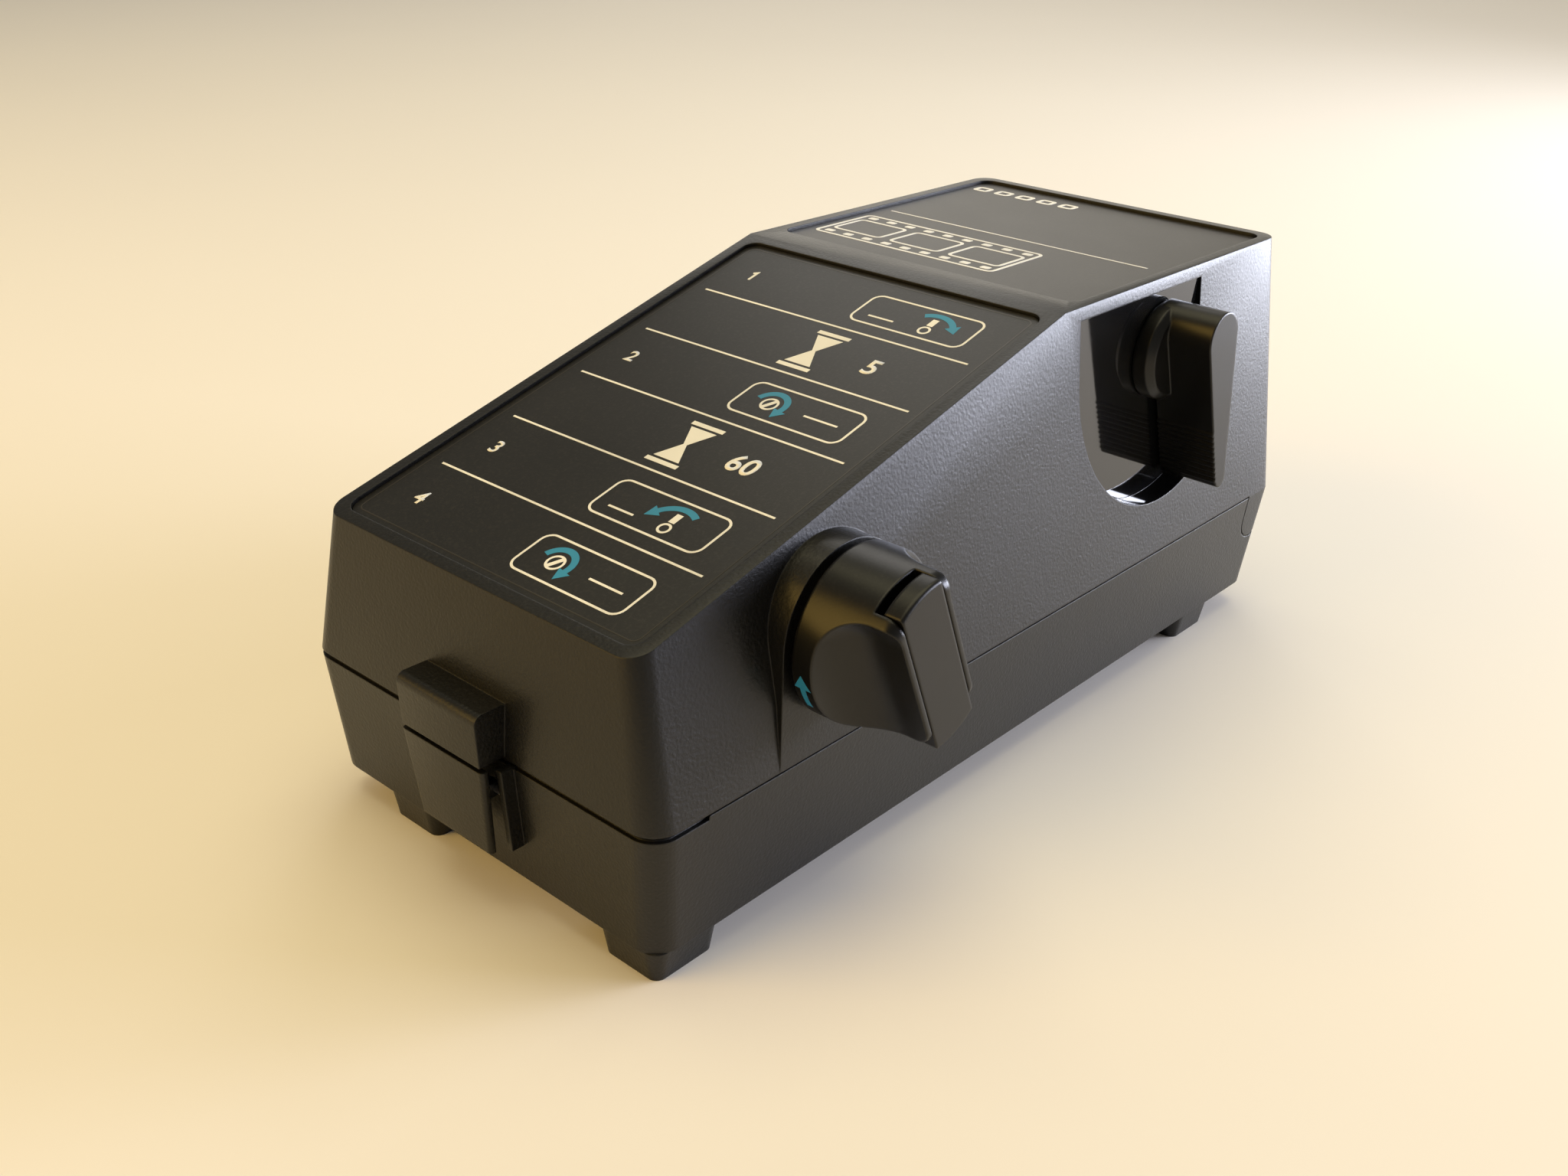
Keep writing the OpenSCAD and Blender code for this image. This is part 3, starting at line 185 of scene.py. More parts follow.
class EffectShelf:
    """Builds each shared effect once as a node group and places it in materials."""

    def __init__(self) -> None:
        """Builds the groups."""
        self.groups = {
            Effect.GRAIN: self.grain(),
            Effect.EDGES: self.edges(),
            Effect.DUST: self.dust(),
            Effect.DRAWN: self.drawn(),
        }

    @staticmethod
    def open_group(effect: Effect, inputs: dict[str, float], outputs: dict[str, str]) -> tuple[
        bpy.types.NodeTree, NodeBoard, bpy.types.Node, bpy.types.Node
    ]:
        """Starts a node group.

        Args:
            effect: the effect that the group gives.
            inputs: names and first values of its inputs, which are plain numbers.
            outputs: names and socket types of its outputs.

        Returns:
            The group, a board for its nodes, its input node and its output node.
        """
        group = bpy.data.node_groups.new(effect.value, "ShaderNodeTree")
        for name, value in inputs.items():
            socket = group.interface.new_socket(name=name, in_out="INPUT", socket_type="NodeSocketFloat")
            socket.default_value = value
        for name, kind in outputs.items():
            group.interface.new_socket(name=name, in_out="OUTPUT", socket_type=kind)
        board = NodeBoard(group)
        return group, board, board.add("NodeGroupInput", {}), board.add("NodeGroupOutput", {})

    def grain(self) -> bpy.types.NodeTree:
        """Builds the grain of moulded plastic.

        Returns:
            A group with the grain's height and a broad, cloudy variation.
        """
        group, board, given, result = self.open_group(
            Effect.GRAIN,
            {"Size": 0.5 * MM, "Cloud": 30 * MM},
            {"Height": "NodeSocketFloat", "Mottle": "NodeSocketFloat"},
        )
        place = board.place()
        scale = board.math("DIVIDE", 1.0, given.outputs["Size"])
        cells = board.add("ShaderNodeTexVoronoi", {"Vector": place, "Scale": scale}, feature="SMOOTH_F1")
        lumps = board.noise(place, given.outputs["Size"], 3.0)
        raised = board.math("MULTIPLY_ADD", cells.outputs["Distance"], -0.6, lumps)
        cloud = board.noise(place, given.outputs["Cloud"], 4.0)
        board.feed(result, {"Height": raised, "Mottle": board.remap(cloud, (0.3, 0.7))})
        return group

    def edges(self) -> bpy.types.NodeTree:
        """Builds the softening and rubbing of edges.

        Returns:
            A group with a normal rounded at edges and a broken mask of the rubbed edges.
        """
        group, board, given, result = self.open_group(
            Effect.EDGES,
            {"Radius": 0.5 * MM, "Break": 2.5 * MM},
            {"Normal": "NodeSocketVector", "Rubbed": "NodeSocketFloat"},
        )
        rounded = board.add("ShaderNodeBevel", {"Radius": given.outputs["Radius"]}, samples=8)
        flat = board.add("ShaderNodeNewGeometry", {})
        turn = board.add(
            "ShaderNodeVectorMath",
            {0: rounded.outputs["Normal"], 1: flat.outputs["Normal"]},
            operation="DOT_PRODUCT",
        )
        at_edge = board.remap(turn.outputs["Value"], (0.99, 0.8))
        patches = board.noise(board.place(), given.outputs["Break"], 5.0)
        broken = board.remap(patches, (0.42, 0.66))
        rubbed = board.math("MULTIPLY", at_edge, broken)
        board.feed(result, {"Normal": rounded.outputs["Normal"], "Rubbed": rubbed})
        return group

    def dust(self) -> bpy.types.NodeTree:
        """Builds the dust that settles on faces that look up.

        Returns:
            A group with a mask of the dust.
        """
        group, board, given, result = self.open_group(
            Effect.DUST, {"Speck": 0.7 * MM, "Amount": 0.1}, {"Mask": "NodeSocketFloat"}
        )
        normal = board.add("ShaderNodeNewGeometry", {}).outputs["Normal"]
        rise = board.add("ShaderNodeSeparateXYZ", {0: normal}).outputs["Z"]
        facing = board.remap(rise, (0.35, 0.95))
        specks = board.noise(board.place(), given.outputs["Speck"], 6.0)
        scattered = board.remap(specks, (0.5, 0.75))
        settled = board.math("MULTIPLY", facing, scattered)
        board.feed(result, {"Mask": board.math("MULTIPLY", settled, given.outputs["Amount"])})
        return group

    def drawn(self) -> bpy.types.NodeTree:
        """Builds the fine lines that drawing or turning leaves on metal rods along Y.

        Returns:
            A group with the height of the lines.
        """
        group, board, given, result = self.open_group(
            Effect.DRAWN, {"Pitch": 0.15 * MM}, {"Height": "NodeSocketFloat"}
        )
        feeds = {0: board.place(), 1: (0.1, 1.0, 0.1)}
        spread = board.add("ShaderNodeVectorMath", feeds, operation="MULTIPLY").outputs[0]
        board.feed(result, {"Height": board.noise(spread, given.outputs["Pitch"], 2.0)})
        return group

    def place(self, board: NodeBoard, effect: Effect, values: dict[str, float]) -> bpy.types.Node:
        """Puts an effect into a material.

        Args:
            board: the board of the material's nodes.
            effect: the effect.
            values: values of its inputs.

        Returns:
            The group's node.
        """
        return board.add("ShaderNodeGroup", values, node_tree=self.groups[effect])


def new_shader(name: str) -> tuple[bpy.types.Material, NodeBoard, bpy.types.Node]:
    """Starts a material with one Principled shader.

    Args:
        name: the material's name.

    Returns:
        The material, a board for its nodes, and the shader.
    """
    material = bpy.data.materials.new(name)
    material.use_nodes = True
    material.node_tree.nodes.clear()
    board = NodeBoard(material.node_tree)
    shader = board.add("ShaderNodeBsdfPrincipled", {})
    board.add("ShaderNodeOutputMaterial", {"Surface": shader.outputs[0]})
    return material, board, shader


@dataclass(frozen=True)
class MouldedFinish:
    """Moulded plastic or rubber with grain, softened edges and a little dust.

    Attributes:
        slot: the record's material slot; not used.
        colour: colour of the clean face.
        rubbed: colour of rubbed edges.
        roughness: middle roughness of the face.
        spread: how far the roughness varies.
        grain: size of the grain.
        depth: depth of the grain.
        edge: radius of softened edges.
        wear: how strongly rubbed edges show.
        dust: how much dust has settled.
        specular: strength of the plain reflection.
        coat: strength of the clearer reflection from the skin of the moulding.
    """

    slot: str
    colour: Colour
    rubbed: Colour
    roughness: float
    spread: float
    grain: float
    depth: float
    edge: float
    wear: float
    dust: float
    specular: float = 0.5
    coat: float = 0.0

    def material(self, name: str, effects: EffectShelf) -> bpy.types.Material:
        """Makes the finish.

        Args:
            name: the material's name.
            effects: the shared effects.

        Returns:
            The material.
        """
        material, board, shader = new_shader(name)
        grain = effects.place(board, Effect.GRAIN, {"Size": self.grain * MM})
        edges = effects.place(board, Effect.EDGES, {"Radius": self.edge * MM})
        dust = effects.place(board, Effect.DUST, {"Amount": self.dust})
        mottle = grain.outputs["Mottle"]
        dark, light = (tuple(shade * part for part in self.colour) for shade in MOULDED_SHADES)
        clean = board.mix(mottle, (*dark, 1.0), (*light, 1.0))
        rub_share = board.math("MULTIPLY", edges.outputs["Rubbed"], self.wear)
        rubbed = board.mix(rub_share, clean, (*self.rubbed, 1.0))
        dusty = board.mix(dust.outputs["Mask"], rubbed, DUST_COLOUR)
        limits = (self.roughness - self.spread, self.roughness + self.spread)
        rough = board.remap(mottle, (0.0, 1.0), limits)
        bumped = board.bump(self.depth, grain.outputs["Height"], edges.outputs["Normal"])
        board.feed(shader, {"Base Color": dusty, "Roughness": rough, "Normal": bumped})
        board.feed(shader, {"Specular IOR Level": self.specular})
        board.feed(shader, {"Coat Weight": self.coat, "Coat Roughness": COAT_ROUGHNESS})
        return material


@dataclass(frozen=True)
class MetalFinish:
    """Turned or drawn metal.

    Attributes:
        slot: the record's material slot.
        colour: colour of the bright metal.
        tarnish: colour of the duller patches.
        roughness: middle roughness.
        pitch: spacing of the tool lines.
        depth: depth of the tool lines.
        edge: radius of softened edges.
    """

    slot: str
    # slot: the record's material slot; not used.
    colour: Colour
    tarnish: Colour
    roughness: float
    pitch: float
    depth: float
    edge: float

    def material(self, name: str, effects: EffectShelf) -> bpy.types.Material:
        """Makes the finish.

        Args:
            name: the material's name.
            effects: the shared effects.

        Returns:
            The material.
        """
        material, board, shader = new_shader(name)
        grain = effects.place(board, Effect.GRAIN, {"Cloud": 4 * MM})
        edges = effects.place(board, Effect.EDGES, {"Radius": self.edge * MM})
        lines = effects.place(board, Effect.DRAWN, {"Pitch": self.pitch * MM})
        mottle = grain.outputs["Mottle"]
        limits = tuple(share * self.roughness for share in METAL_POLISH)
        rough = board.remap(mottle, (0.0, 1.0), limits)
        bumped = board.bump(self.depth, lines.outputs["Height"], edges.outputs["Normal"])
        clouded = board.mix(mottle, (*self.colour, 1.0), (*self.tarnish, 1.0))
        board.feed(shader, {"Base Color": clouded, "Roughness": rough, "Normal": bumped, "Metallic": 1.0})
        return material


def ink(colour: Colour, rubbed: Colour, roughness: float) -> MouldedFinish:
    """Gives the finish of thin print on a plate, and of a painted highlight laid like print."""
    return MouldedFinish(
        slot="panel_grey", colour=colour, rubbed=rubbed, roughness=roughness,
        spread=0.04, grain=0.3, depth=0.004, edge=0.02, wear=0.2, dust=0.0,
    )


class Finish(Enum):
    """Finishes of the processor's pieces."""

    CASE = MouldedFinish(
        slot="case_black", colour=(0.004, 0.0039, 0.0038), rubbed=(0.07, 0.067, 0.064), roughness=0.45,
        spread=0.04, grain=0.7, depth=0.08, edge=0.5, wear=0.15, dust=0.02, specular=0.26, coat=0.3,
    )
    DISH = MouldedFinish(
        slot="satin_black", colour=(0.006, 0.006, 0.0065), rubbed=(0.04, 0.04, 0.04), roughness=0.05,
        spread=0.02, grain=4.0, depth=0.002, edge=0.3, wear=0.1, dust=0.02, specular=0.65,
    )
    GRIP = MouldedFinish(
        slot="satin_black", colour=(0.003, 0.0029, 0.0028), rubbed=(0.045, 0.043, 0.041), roughness=0.34,
        spread=0.05, grain=0.35, depth=0.006, edge=0.8, wear=0.2, dust=0.015, specular=0.36,
    )
    FOIL = MouldedFinish(
        slot="panel_grey", colour=(0.0065, 0.006, 0.0052), rubbed=(0.12, 0.11, 0.09), roughness=0.37,
        spread=0.015, grain=0.22, depth=0.01, edge=0.15, wear=0.2, dust=0.03, specular=0.45,
    )
    INNER = MouldedFinish(
        slot="inner_black", colour=(0.02, 0.02, 0.021), rubbed=(0.07, 0.07, 0.07), roughness=0.55,
        spread=0.06, grain=0.8, depth=0.03, edge=0.4, wear=0.25, dust=0.04,
    )
    NYLON = MouldedFinish(
        slot="nylon", colour=(0.74, 0.72, 0.65), rubbed=(0.82, 0.81, 0.76), roughness=0.42,
        spread=0.06, grain=0.6, depth=0.006, edge=0.2, wear=0.3, dust=0.0,
    )
    RUBBER = MouldedFinish(
        slot="rubber", colour=(0.05, 0.05, 0.05), rubbed=(0.1, 0.1, 0.1), roughness=0.75,
        spread=0.08, grain=0.3, depth=0.02, edge=0.3, wear=0.4, dust=0.05,
    )
    STEEL = MetalFinish(
        slot="steel", colour=(0.58, 0.58, 0.59), tarnish=(0.44, 0.43, 0.42), roughness=0.28,
        pitch=0.12, depth=0.004, edge=0.15,
    )
    # Painted highlight: a warm line lighter than the plate, standing for the light caught along the slope
    # plate's border.
    FOIL_EDGE = ink((0.03, 0.027, 0.022), (0.12, 0.11, 0.09), 0.3)
    PALE_INK = ink((0.88, 0.89, 0.9), (0.6, 0.58, 0.52), 0.5)
    TEAL_INK = ink((0.022, 0.26, 0.5), (0.03, 0.18, 0.32), 0.5)


class Workshop:
    """Holds the finishes and puts them and new pieces on the frame."""

    def __init__(self) -> None:
        """Makes the effects and the materials."""
        effects = EffectShelf()
        self.materials = {finish: finish.value.material(finish.name.lower(), effects) for finish in Finish}

    def dress(self, finish: Finish, *nodes: str) -> None:
        """Gives solids of the frame their finish.

        Args:
            finish: the finish.
            nodes: the solids' names.
        """
        for node in nodes:
            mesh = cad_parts[node].data
            mesh.materials.clear()
            mesh.materials.append(self.materials[finish])
            log.info("dressed %s in %s", node, finish.name.lower())

    def add(self, piece: bpy.types.Object, body: str, finish: Finish) -> None:
        """Puts a new piece on a body of the frame.

        Args:
            piece: the piece, in its place.
            body: the body that it moves with.
            finish: its finish.
        """
        piece.data.materials.append(self.materials[finish])
        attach(piece, body)
        log.info("added %s on %s", piece.name, body)


@dataclass(frozen=True)
class Drawing:
    """Main sizes of the solids, by which roundings, print and camera are placed.

    Attributes:
        mid_x: x of the frame's origin.
        mid_y: y of the frame's origin.
        front_lean: how far back the slope's foot lies.
        front_z: height of the slope's foot.
        part_z: height of the parting line.
        tab_x: only the tab and the latch reach further forward than this.
        slope_run: where the slope meets the flat top.
        top_z: height of the flat top.
        plate_sunk: how far the printed plates lie below the rim.
        crank_x: x of the crank's axis.
        crank_z: height of the crank's axis.
        knob_r: radius of the knob's skirt.
        lever_x: x of the lever's axis.
        lever_z: height of the lever's axis.
        recess_floor: distance of the lever's recess floor from the middle of the case.
        recess_reach: distance from the lever's axis within which the opening's walls lie.
    """

    mid_x: float = 114.25
    mid_y: float = -11.0
    front_lean: float = 2.5
    front_z: float = 68.5
    part_z: float = 35.5
    tab_x: float = -3.0
    slope_run: float = 129.0
    top_z: float = 103.9
    plate_sunk: float = 0.8
    crank_x: float = 50.5
    crank_z: float = 61.0
    knob_r: float = 17.5
    lever_x: float = 172.0
    lever_z: float = 86.4
    recess_floor: float = 45.8
    recess_reach: float = 40.0

    def at(self, x: float, y: float, z: float) -> Vector:
        """Gives the place in the frame, in metres, of a place in the drawing."""
        return Vector((x - self.mid_x, y - self.mid_y, z)) * MM

    def slope_turn(self) -> float:
        """Gives the angle of the lid's slope, in radians."""
        return math.atan2(self.top_z - self.front_z, self.slope_run - self.front_lean)


def new_mesh(name: str, shape: bmesh.types.BMesh) -> bpy.types.Mesh:
    """Turns a shape into a mesh.

    Args:
        name: the mesh's name.
        shape: the shape, which is freed.

    Returns:
        The mesh.
    """
    mesh = bpy.data.meshes.new(name)
    shape.to_mesh(mesh)
    shape.free()
    return mesh


def new_object(name: str, data: bpy.types.ID) -> bpy.types.Object:
    """Puts a mesh, curve, light or camera into the scene.

    Args:
        name: the object's name.
        data: what the object holds.

    Returns:
        The object.
    """
    thing = bpy.data.objects.new(name, data)
    bpy.context.scene.collection.objects.link(thing)
    return thing


class PrintGround(Protocol):
    """A face that takes print."""

    def wrap(self, across: float, along: float, lift: float) -> Vector:
        """Gives the place in the frame of a place on the face, lifted off it."""


@dataclass(frozen=True)
class FlatGround:
    """A flat face whose signs read to the right.

    Attributes:
        origin: zero of the face, in the frame.
        right: direction in which signs read.
        up: direction of their tops.
    """

    origin: Vector
    right: Vector
    up: Vector

    def wrap(self, across: float, along: float, lift: float) -> Vector:
        """Gives the place in the frame of a place on the face, lifted off it."""
        normal = self.right.cross(self.up)
        return self.origin + (self.right * across + self.up * along + normal * lift) * MM


@dataclass(frozen=True)
class RoundGround:
    """The skirt of a knob that turns about an axis along Y.

    Attributes:
        centre: a point on the axis, in the frame.
        radius: radius of the skirt.
    """

    centre: Vector
    radius: float

    def wrap(self, across: float, along: float, lift: float) -> Vector:
        """Gives the place in the frame of a place on the skirt; along is measured round it."""
        turn = along / self.radius
        reach = (self.radius + lift) * MM
        return self.centre + Vector((reach * math.cos(turn), -across * MM, reach * math.sin(turn)))


def arc(centre: Flat, radius: float, start: float, end: float, steps: int = 24) -> list[Flat]:
    """Draws an arc.

    Args:
        centre: its centre.
        radius: its radius.
        start: angle of its first point, in degrees.
        end: angle of its last point, in degrees.
        steps: number of its chords.

    Returns:
        Its points.
    """
    turns = [math.radians(start + (end - start) * step / steps) for step in range(steps + 1)]
    return [(centre[0] + radius * math.cos(turn), centre[1] + radius * math.sin(turn)) for turn in turns]


def ring(centre: Flat, radius: float) -> list[Flat]:
    """Draws a circle that a closed line completes."""
    return arc(centre, radius, 0.0, 345.0)


def rounded_box(centre: Flat, size: Flat, radius: float, steps: int = 6) -> list[Flat]:
    """Draws a rectangle with rounded corners.

    Args:
        centre: its centre.
        size: its width and height.
        radius: radius of its corners.
        steps: number of chords at each corner.

    Returns:
        Its points, anticlockwise.
    """
    reach_x = size[0] / 2 - radius
    reach_y = size[1] / 2 - radius
    points = []
    for quarter, (side_x, side_y) in enumerate(((1, 1), (-1, 1), (-1, -1), (1, -1))):
        corner = (centre[0] + side_x * reach_x, centre[1] + side_y * reach_y)
        points += arc(corner, radius, 90 * quarter, 90 * quarter + 90, steps)
    return points


class Stencil:
    """Gathers flat shapes for one printed layer.

    Attributes:
        thickness: thickness of the layer.
        sunk: how much of it lies below the face.
        sharpest: cosine of half the sharpest bend whose mitre is drawn in full.
        head_spread: half width of an arrow head, as a share of its length.
        digit_share: height of a digit, as a share of the font's size.
        boldness: how far digits are swollen, as a share of their height.
    """

    thickness = 0.05
    sunk = 0.02
    sharpest = 0.4
    head_spread = 0.62
    digit_share = 0.69
    boldness = 0.03

    def __init__(self) -> None:
        """Starts with no shapes."""
        self.mesh = bmesh.new()

    def fill(self, outline: Sequence[Flat]) -> None:
        """Adds a filled outline."""
        self.mesh.faces.new([self.mesh.verts.new((x, y, 0.0)) for x, y in outline])

    def stroke(self, path: Sequence[Flat], width: float, closed: bool = False) -> None:
        """Adds a line with mitred bends.

        Args:
            path: the points that it passes.
            width: its width.
            closed: whether it returns to its first point.
        """
        points = [Vector(point) for point in path]
        last = len(points) - 1
        sides = []
        for index, point in enumerate(points):
            following = points[(index + 1) % (last + 1)]
            into = (point - points[index - 1]).normalized() if closed or index else None
            out = (following - point).normalized() if closed or index < last else None
            into, out = into or out, out or into
            middle = (into + out).normalized()
            reach = width / 2 / max(self.sharpest, middle.dot(into))
            offset = Vector((-middle.y, middle.x)) * reach
            sides.append([self.mesh.verts.new((*(point + side * offset), 0.0)) for side in (1, -1)])
        pairs = list(zip(sides, sides[1:])) + ([(sides[-1], sides[0])] if closed else [])
        for (left, right), (next_left, next_right) in pairs:
            self.mesh.faces.new((left, right, next_right, next_left))

    def rule(self, reach: Flat, along: float, width: float) -> None:
        """Adds a level line from one end of a reach to the other."""
        self.stroke([(end, along) for end in reach], width)

    def arrow(self, path: Sequence[Flat], width: float, head: float) -> None:
        """Adds a line with an arrow head past its last point.

        Args:
            path: the points that the line passes.
            width: width of the line.
            head: length of the head.
        """
        self.stroke(path, width)
        neck = Vector(path[-1])
        ahead = (neck - Vector(path[-2])).normalized()
        aside = Vector((-ahead.y, ahead.x)) * self.head_spread * head
        rows = []
        for share in (0.0, 0.25, 0.5, 0.75):
            middle = neck + ahead * head * share
            corners = (middle + side * (1 - share) * aside for side in (1, -1))
            rows.append([self.mesh.verts.new((*corner, 0.0)) for corner in corners])
        for (left, right), (next_left, next_right) in zip(rows, rows[1:]):
            self.mesh.faces.new((left, right, next_right, next_left))
        self.mesh.faces.new((*rows[-1], self.mesh.verts.new((*(neck + ahead * head), 0.0))))

    def number(self, value: int, centre: Flat, height: float) -> None:
        """Adds a plain number.

        Args:
            value: the number.
            centre: the middle of it.
            height: height of its digits.
        """
        if value == 1:
            self.flagged_one(centre, height)
            return
        curve = bpy.data.curves.new("number", "FONT")
        curve.body = str(value)
        curve.size = height / self.digit_share
        curve.offset = self.boldness * height
        curve.align_x = "CENTER"
        curve.align_y = "CENTER"
        curve.fill_mode = "FRONT"
        curve.resolution_u = 4
        holder = new_object("number", curve)
        evaluated = holder.evaluated_get(bpy.context.evaluated_depsgraph_get())
        flat = bpy.data.meshes.new_from_object(evaluated)
        flat.transform(Matrix.Translation((*centre, 0.0)))
        self.mesh.from_mesh(flat)
        bpy.data.objects.remove(holder)
        bpy.data.curves.remove(curve)
        bpy.data.meshes.remove(flat)

    def flagged_one(self, centre: Flat, height: float) -> None:
        """Adds a 1 with a flag at its head, its parts as shares of its height.

        Args:
            centre: the middle of it.
            height: its height.
        """
        stem = centre[0] + 0.1 * height
        top = centre[1] + 0.5 * height
        flag = (stem - 0.26 * height, top - 0.24 * height)
        bend = (stem, top - 0.08 * height)
        foot = (stem, centre[1] - 0.5 * height)
        self.stroke([flag, bend, foot], 0.19 * height)

    def lay(self, name: str, ground: PrintGround) -> bpy.types.Object:
        """Makes one thin closed layer of the shapes.

        Args:
            name: the piece's name.
            ground: the face that it lies on.

        Returns:
            The piece.
        """
        raised = bmesh.ops.extrude_face_region(self.mesh, geom=self.mesh.faces[:])
        for vert in self.mesh.verts:
            vert.co.z = -self.sunk
        for part in raised["geom"]:
            if isinstance(part, bmesh.types.BMVert):
                part.co.z = self.thickness - self.sunk
        for vert in self.mesh.verts:
            vert.co = ground.wrap(*vert.co)
        bmesh.ops.recalc_face_normals(self.mesh, faces=self.mesh.faces[:])
        return new_object(name, new_mesh(name, self.mesh))


class RoundedSolid:
    """A copy of one of the frame's solids, with some of its edges rounded.

    Attributes:
        weld: distance within which corners are joined.
        flat_turn: turn below which faces count as one, in degrees.
        sharp_turn: turn above which an edge is shaded sharp, in degrees.
        segments: number of strips in a rounding.
    """

    weld = 0.001
    flat_turn = 0.5
    sharp_turn = 24.0
    segments = 4

    def __init__(self, node: str) -> None:
        """Copies the solid and joins its triangles into flat faces.

        Args:
            node: the solid's name.
        """
        self.node = node
        self.mesh = bmesh.new()
        self.mesh.from_mesh(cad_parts[node].data)
        bmesh.ops.remove_doubles(self.mesh, verts=self.mesh.verts[:], dist=self.weld * MM)
        bmesh.ops.dissolve_limit(
            self.mesh,
            angle_limit=math.radians(self.flat_turn),
            verts=self.mesh.verts[:],
            edges=self.mesh.edges[:],
        )
        self.mesh.normal_update()

    def round_edges(self, chosen: Callable[[bmesh.types.BMEdge], bool], radius: float) -> None:
        """Rounds the chosen edges.

        Args:
            chosen: tells whether an edge is rounded.
            radius: radius of the rounding.
        """
        edges = [edge for edge in self.mesh.edges if chosen(edge)]
        log.info("rounding %d edges of %s", len(edges), self.node)
        made = bmesh.ops.bevel(
            self.mesh, geom=edges, offset=radius * MM, offset_type="OFFSET", segments=self.segments,
            profile=0.5, affect="EDGES", clamp_overlap=True,
        )
        for face in made["faces"]:
            face.smooth = True

    def mark(self, chosen: Callable[[bmesh.types.BMFace], bool]) -> None:
        """Gives the chosen faces the piece's second material."""
        for face in self.mesh.faces:
            face.material_index = int(chosen(face))

    def finish(self, name: str) -> bpy.types.Object:
        """Makes the piece that stands for the solid.

        Args:
            name: the piece's name.

        Returns:
            The piece, shaded smooth over its roundings.
        """
        bmesh.ops.triangulate(self.mesh, faces=self.mesh.faces[:])
        mesh = new_mesh(name, self.mesh)
        mesh.attributes.remove(mesh.attributes["custom_normal"])
        mesh.set_sharp_from_angle(angle=math.radians(self.sharp_turn))
        piece = new_object(name, mesh)
        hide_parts(self.node)
        return piece


class Turn(Enum):
    """Ways in which a lever sign's arrow turns, with the angles of its tail and neck in degrees."""

    CLOCKWISE = (125.0, 35.0)
    ANTICLOCKWISE = (55.0, 145.0)


@dataclass
class Case:
    """The hinged case with its latch.

    Attributes:
        drawing: main sizes of the solids.
        rim_round: rounding of the lid's outer top edges.
        front_round: rounding of the edges at the front of the tab and of the latch plate.
        touch: how near the lid's top an edge lies that bounds it.
        floor_gap: how far past the recess's floor a wall of the opening may end.
        part_gap: how near the parting line edges stay sharp.
        pins: nodes of bare steel.
    """

    drawing: Drawing
    rim_round: float = 1.1
    front_round: float = 0.9
    touch: float = 0.05
    floor_gap: float = 0.1
    part_gap: float = 1.5
    pins: tuple[str, ...] = ("hinge_pins", "latch_pin", "latch_spring")

    def build(self, shop: Workshop) -> None:
        """Dresses the base and the pins, and puts the lid and the latch plate in with rounded edges.

        Args:
            shop: the finishes and the frame.
        """
        shop.dress(Finish.CASE, "base_shell")
        shop.dress(Finish.STEEL, *self.pins)
        lid = RoundedSolid("lid_shell")
        lid.round_edges(self.on_rim, self.rim_round)
        lid.round_edges(self.on_front, self.front_round)
        lid.mark(self.in_opening)
        piece = lid.finish("lid_rounded")
        shop.add(piece, "lid", Finish.CASE)
        piece.data.materials.append(shop.materials[Finish.DISH])
        latch = RoundedSolid("latch_lever")
        latch.round_edges(self.on_front, self.front_round)
        shop.add(latch.finish("latch_rounded"), "latch", Finish.CASE)

    def on_rim(self, edge: bmesh.types.BMEdge) -> bool:
        """Tells whether an edge bounds the lid's top from outside.

        Args:
            edge: the edge.

        Returns:
            Whether one of its faces is the slope or the flat top, and the other a wall that looks outwards.
        """
        upper, wall = sorted(edge.link_faces, key=lambda face: -face.normal.z)
        middle = (edge.verts[0].co + edge.verts[1].co) / 2
        turn = self.drawing.slope_turn()
        rise = self.drawing.at(self.drawing.front_lean, 0.0, self.drawing.front_z)
        along = max(0.0, min(middle.x, self.drawing.at(self.drawing.slope_run, 0.0, 0.0).x) - rise.x)
        on_top = abs(rise.z + along * math.tan(turn) - middle.z) < self.touch * MM
        outward = wall.normal.x * middle.x + wall.normal.y * (middle.y + self.drawing.mid_y * MM)
        return on_top and upper.normal.z > FACING and abs(wall.normal.z) < ASIDE and outward > 0

    def in_opening(self, face: bmesh.types.BMFace) -> bool:
        """Tells whether a face is a wall of the lever's opening.

        Args:
            face: the face.

        Returns:
            Whether it stands across the case's side, near the lever's axis, and looks towards that axis.
        """
        axis = self.drawing.at(self.drawing.lever_x, 0.0, self.drawing.lever_z).xz
        floor = self.drawing.at(0.0, -self.drawing.recess_floor, 0.0).y
        toward = axis - face.calc_center_median().xz
        deepest = max(vert.co.y for vert in face.verts)
        across = abs(face.normal.y) < ACROSS and deepest < floor + self.floor_gap * MM
        return across and toward.length < self.drawing.recess_reach * MM and face.normal.xz.dot(toward) > 0

    def on_front(self, edge: bmesh.types.BMEdge) -> bool:
        """Tells whether an edge bounds the front face of the tab or of the latch plate.

        Args:
            edge: the edge.

        Returns:
            Whether it stands well in front of the case and turns sharply, and isn't at the parting line.
        """
        front, other = sorted(edge.link_faces, key=lambda face: face.normal.x)
        far = max(vert.co.x for vert in edge.verts)
        level = max(abs(vert.co.z - self.drawing.part_z * MM) for vert in edge.verts)
        ahead = far < self.drawing.at(self.drawing.tab_x, 0.0, 0.0).x
        sharp = front.normal.x < -FACING and other.normal.x > -ASIDE
        return ahead and sharp and level > self.part_gap * MM


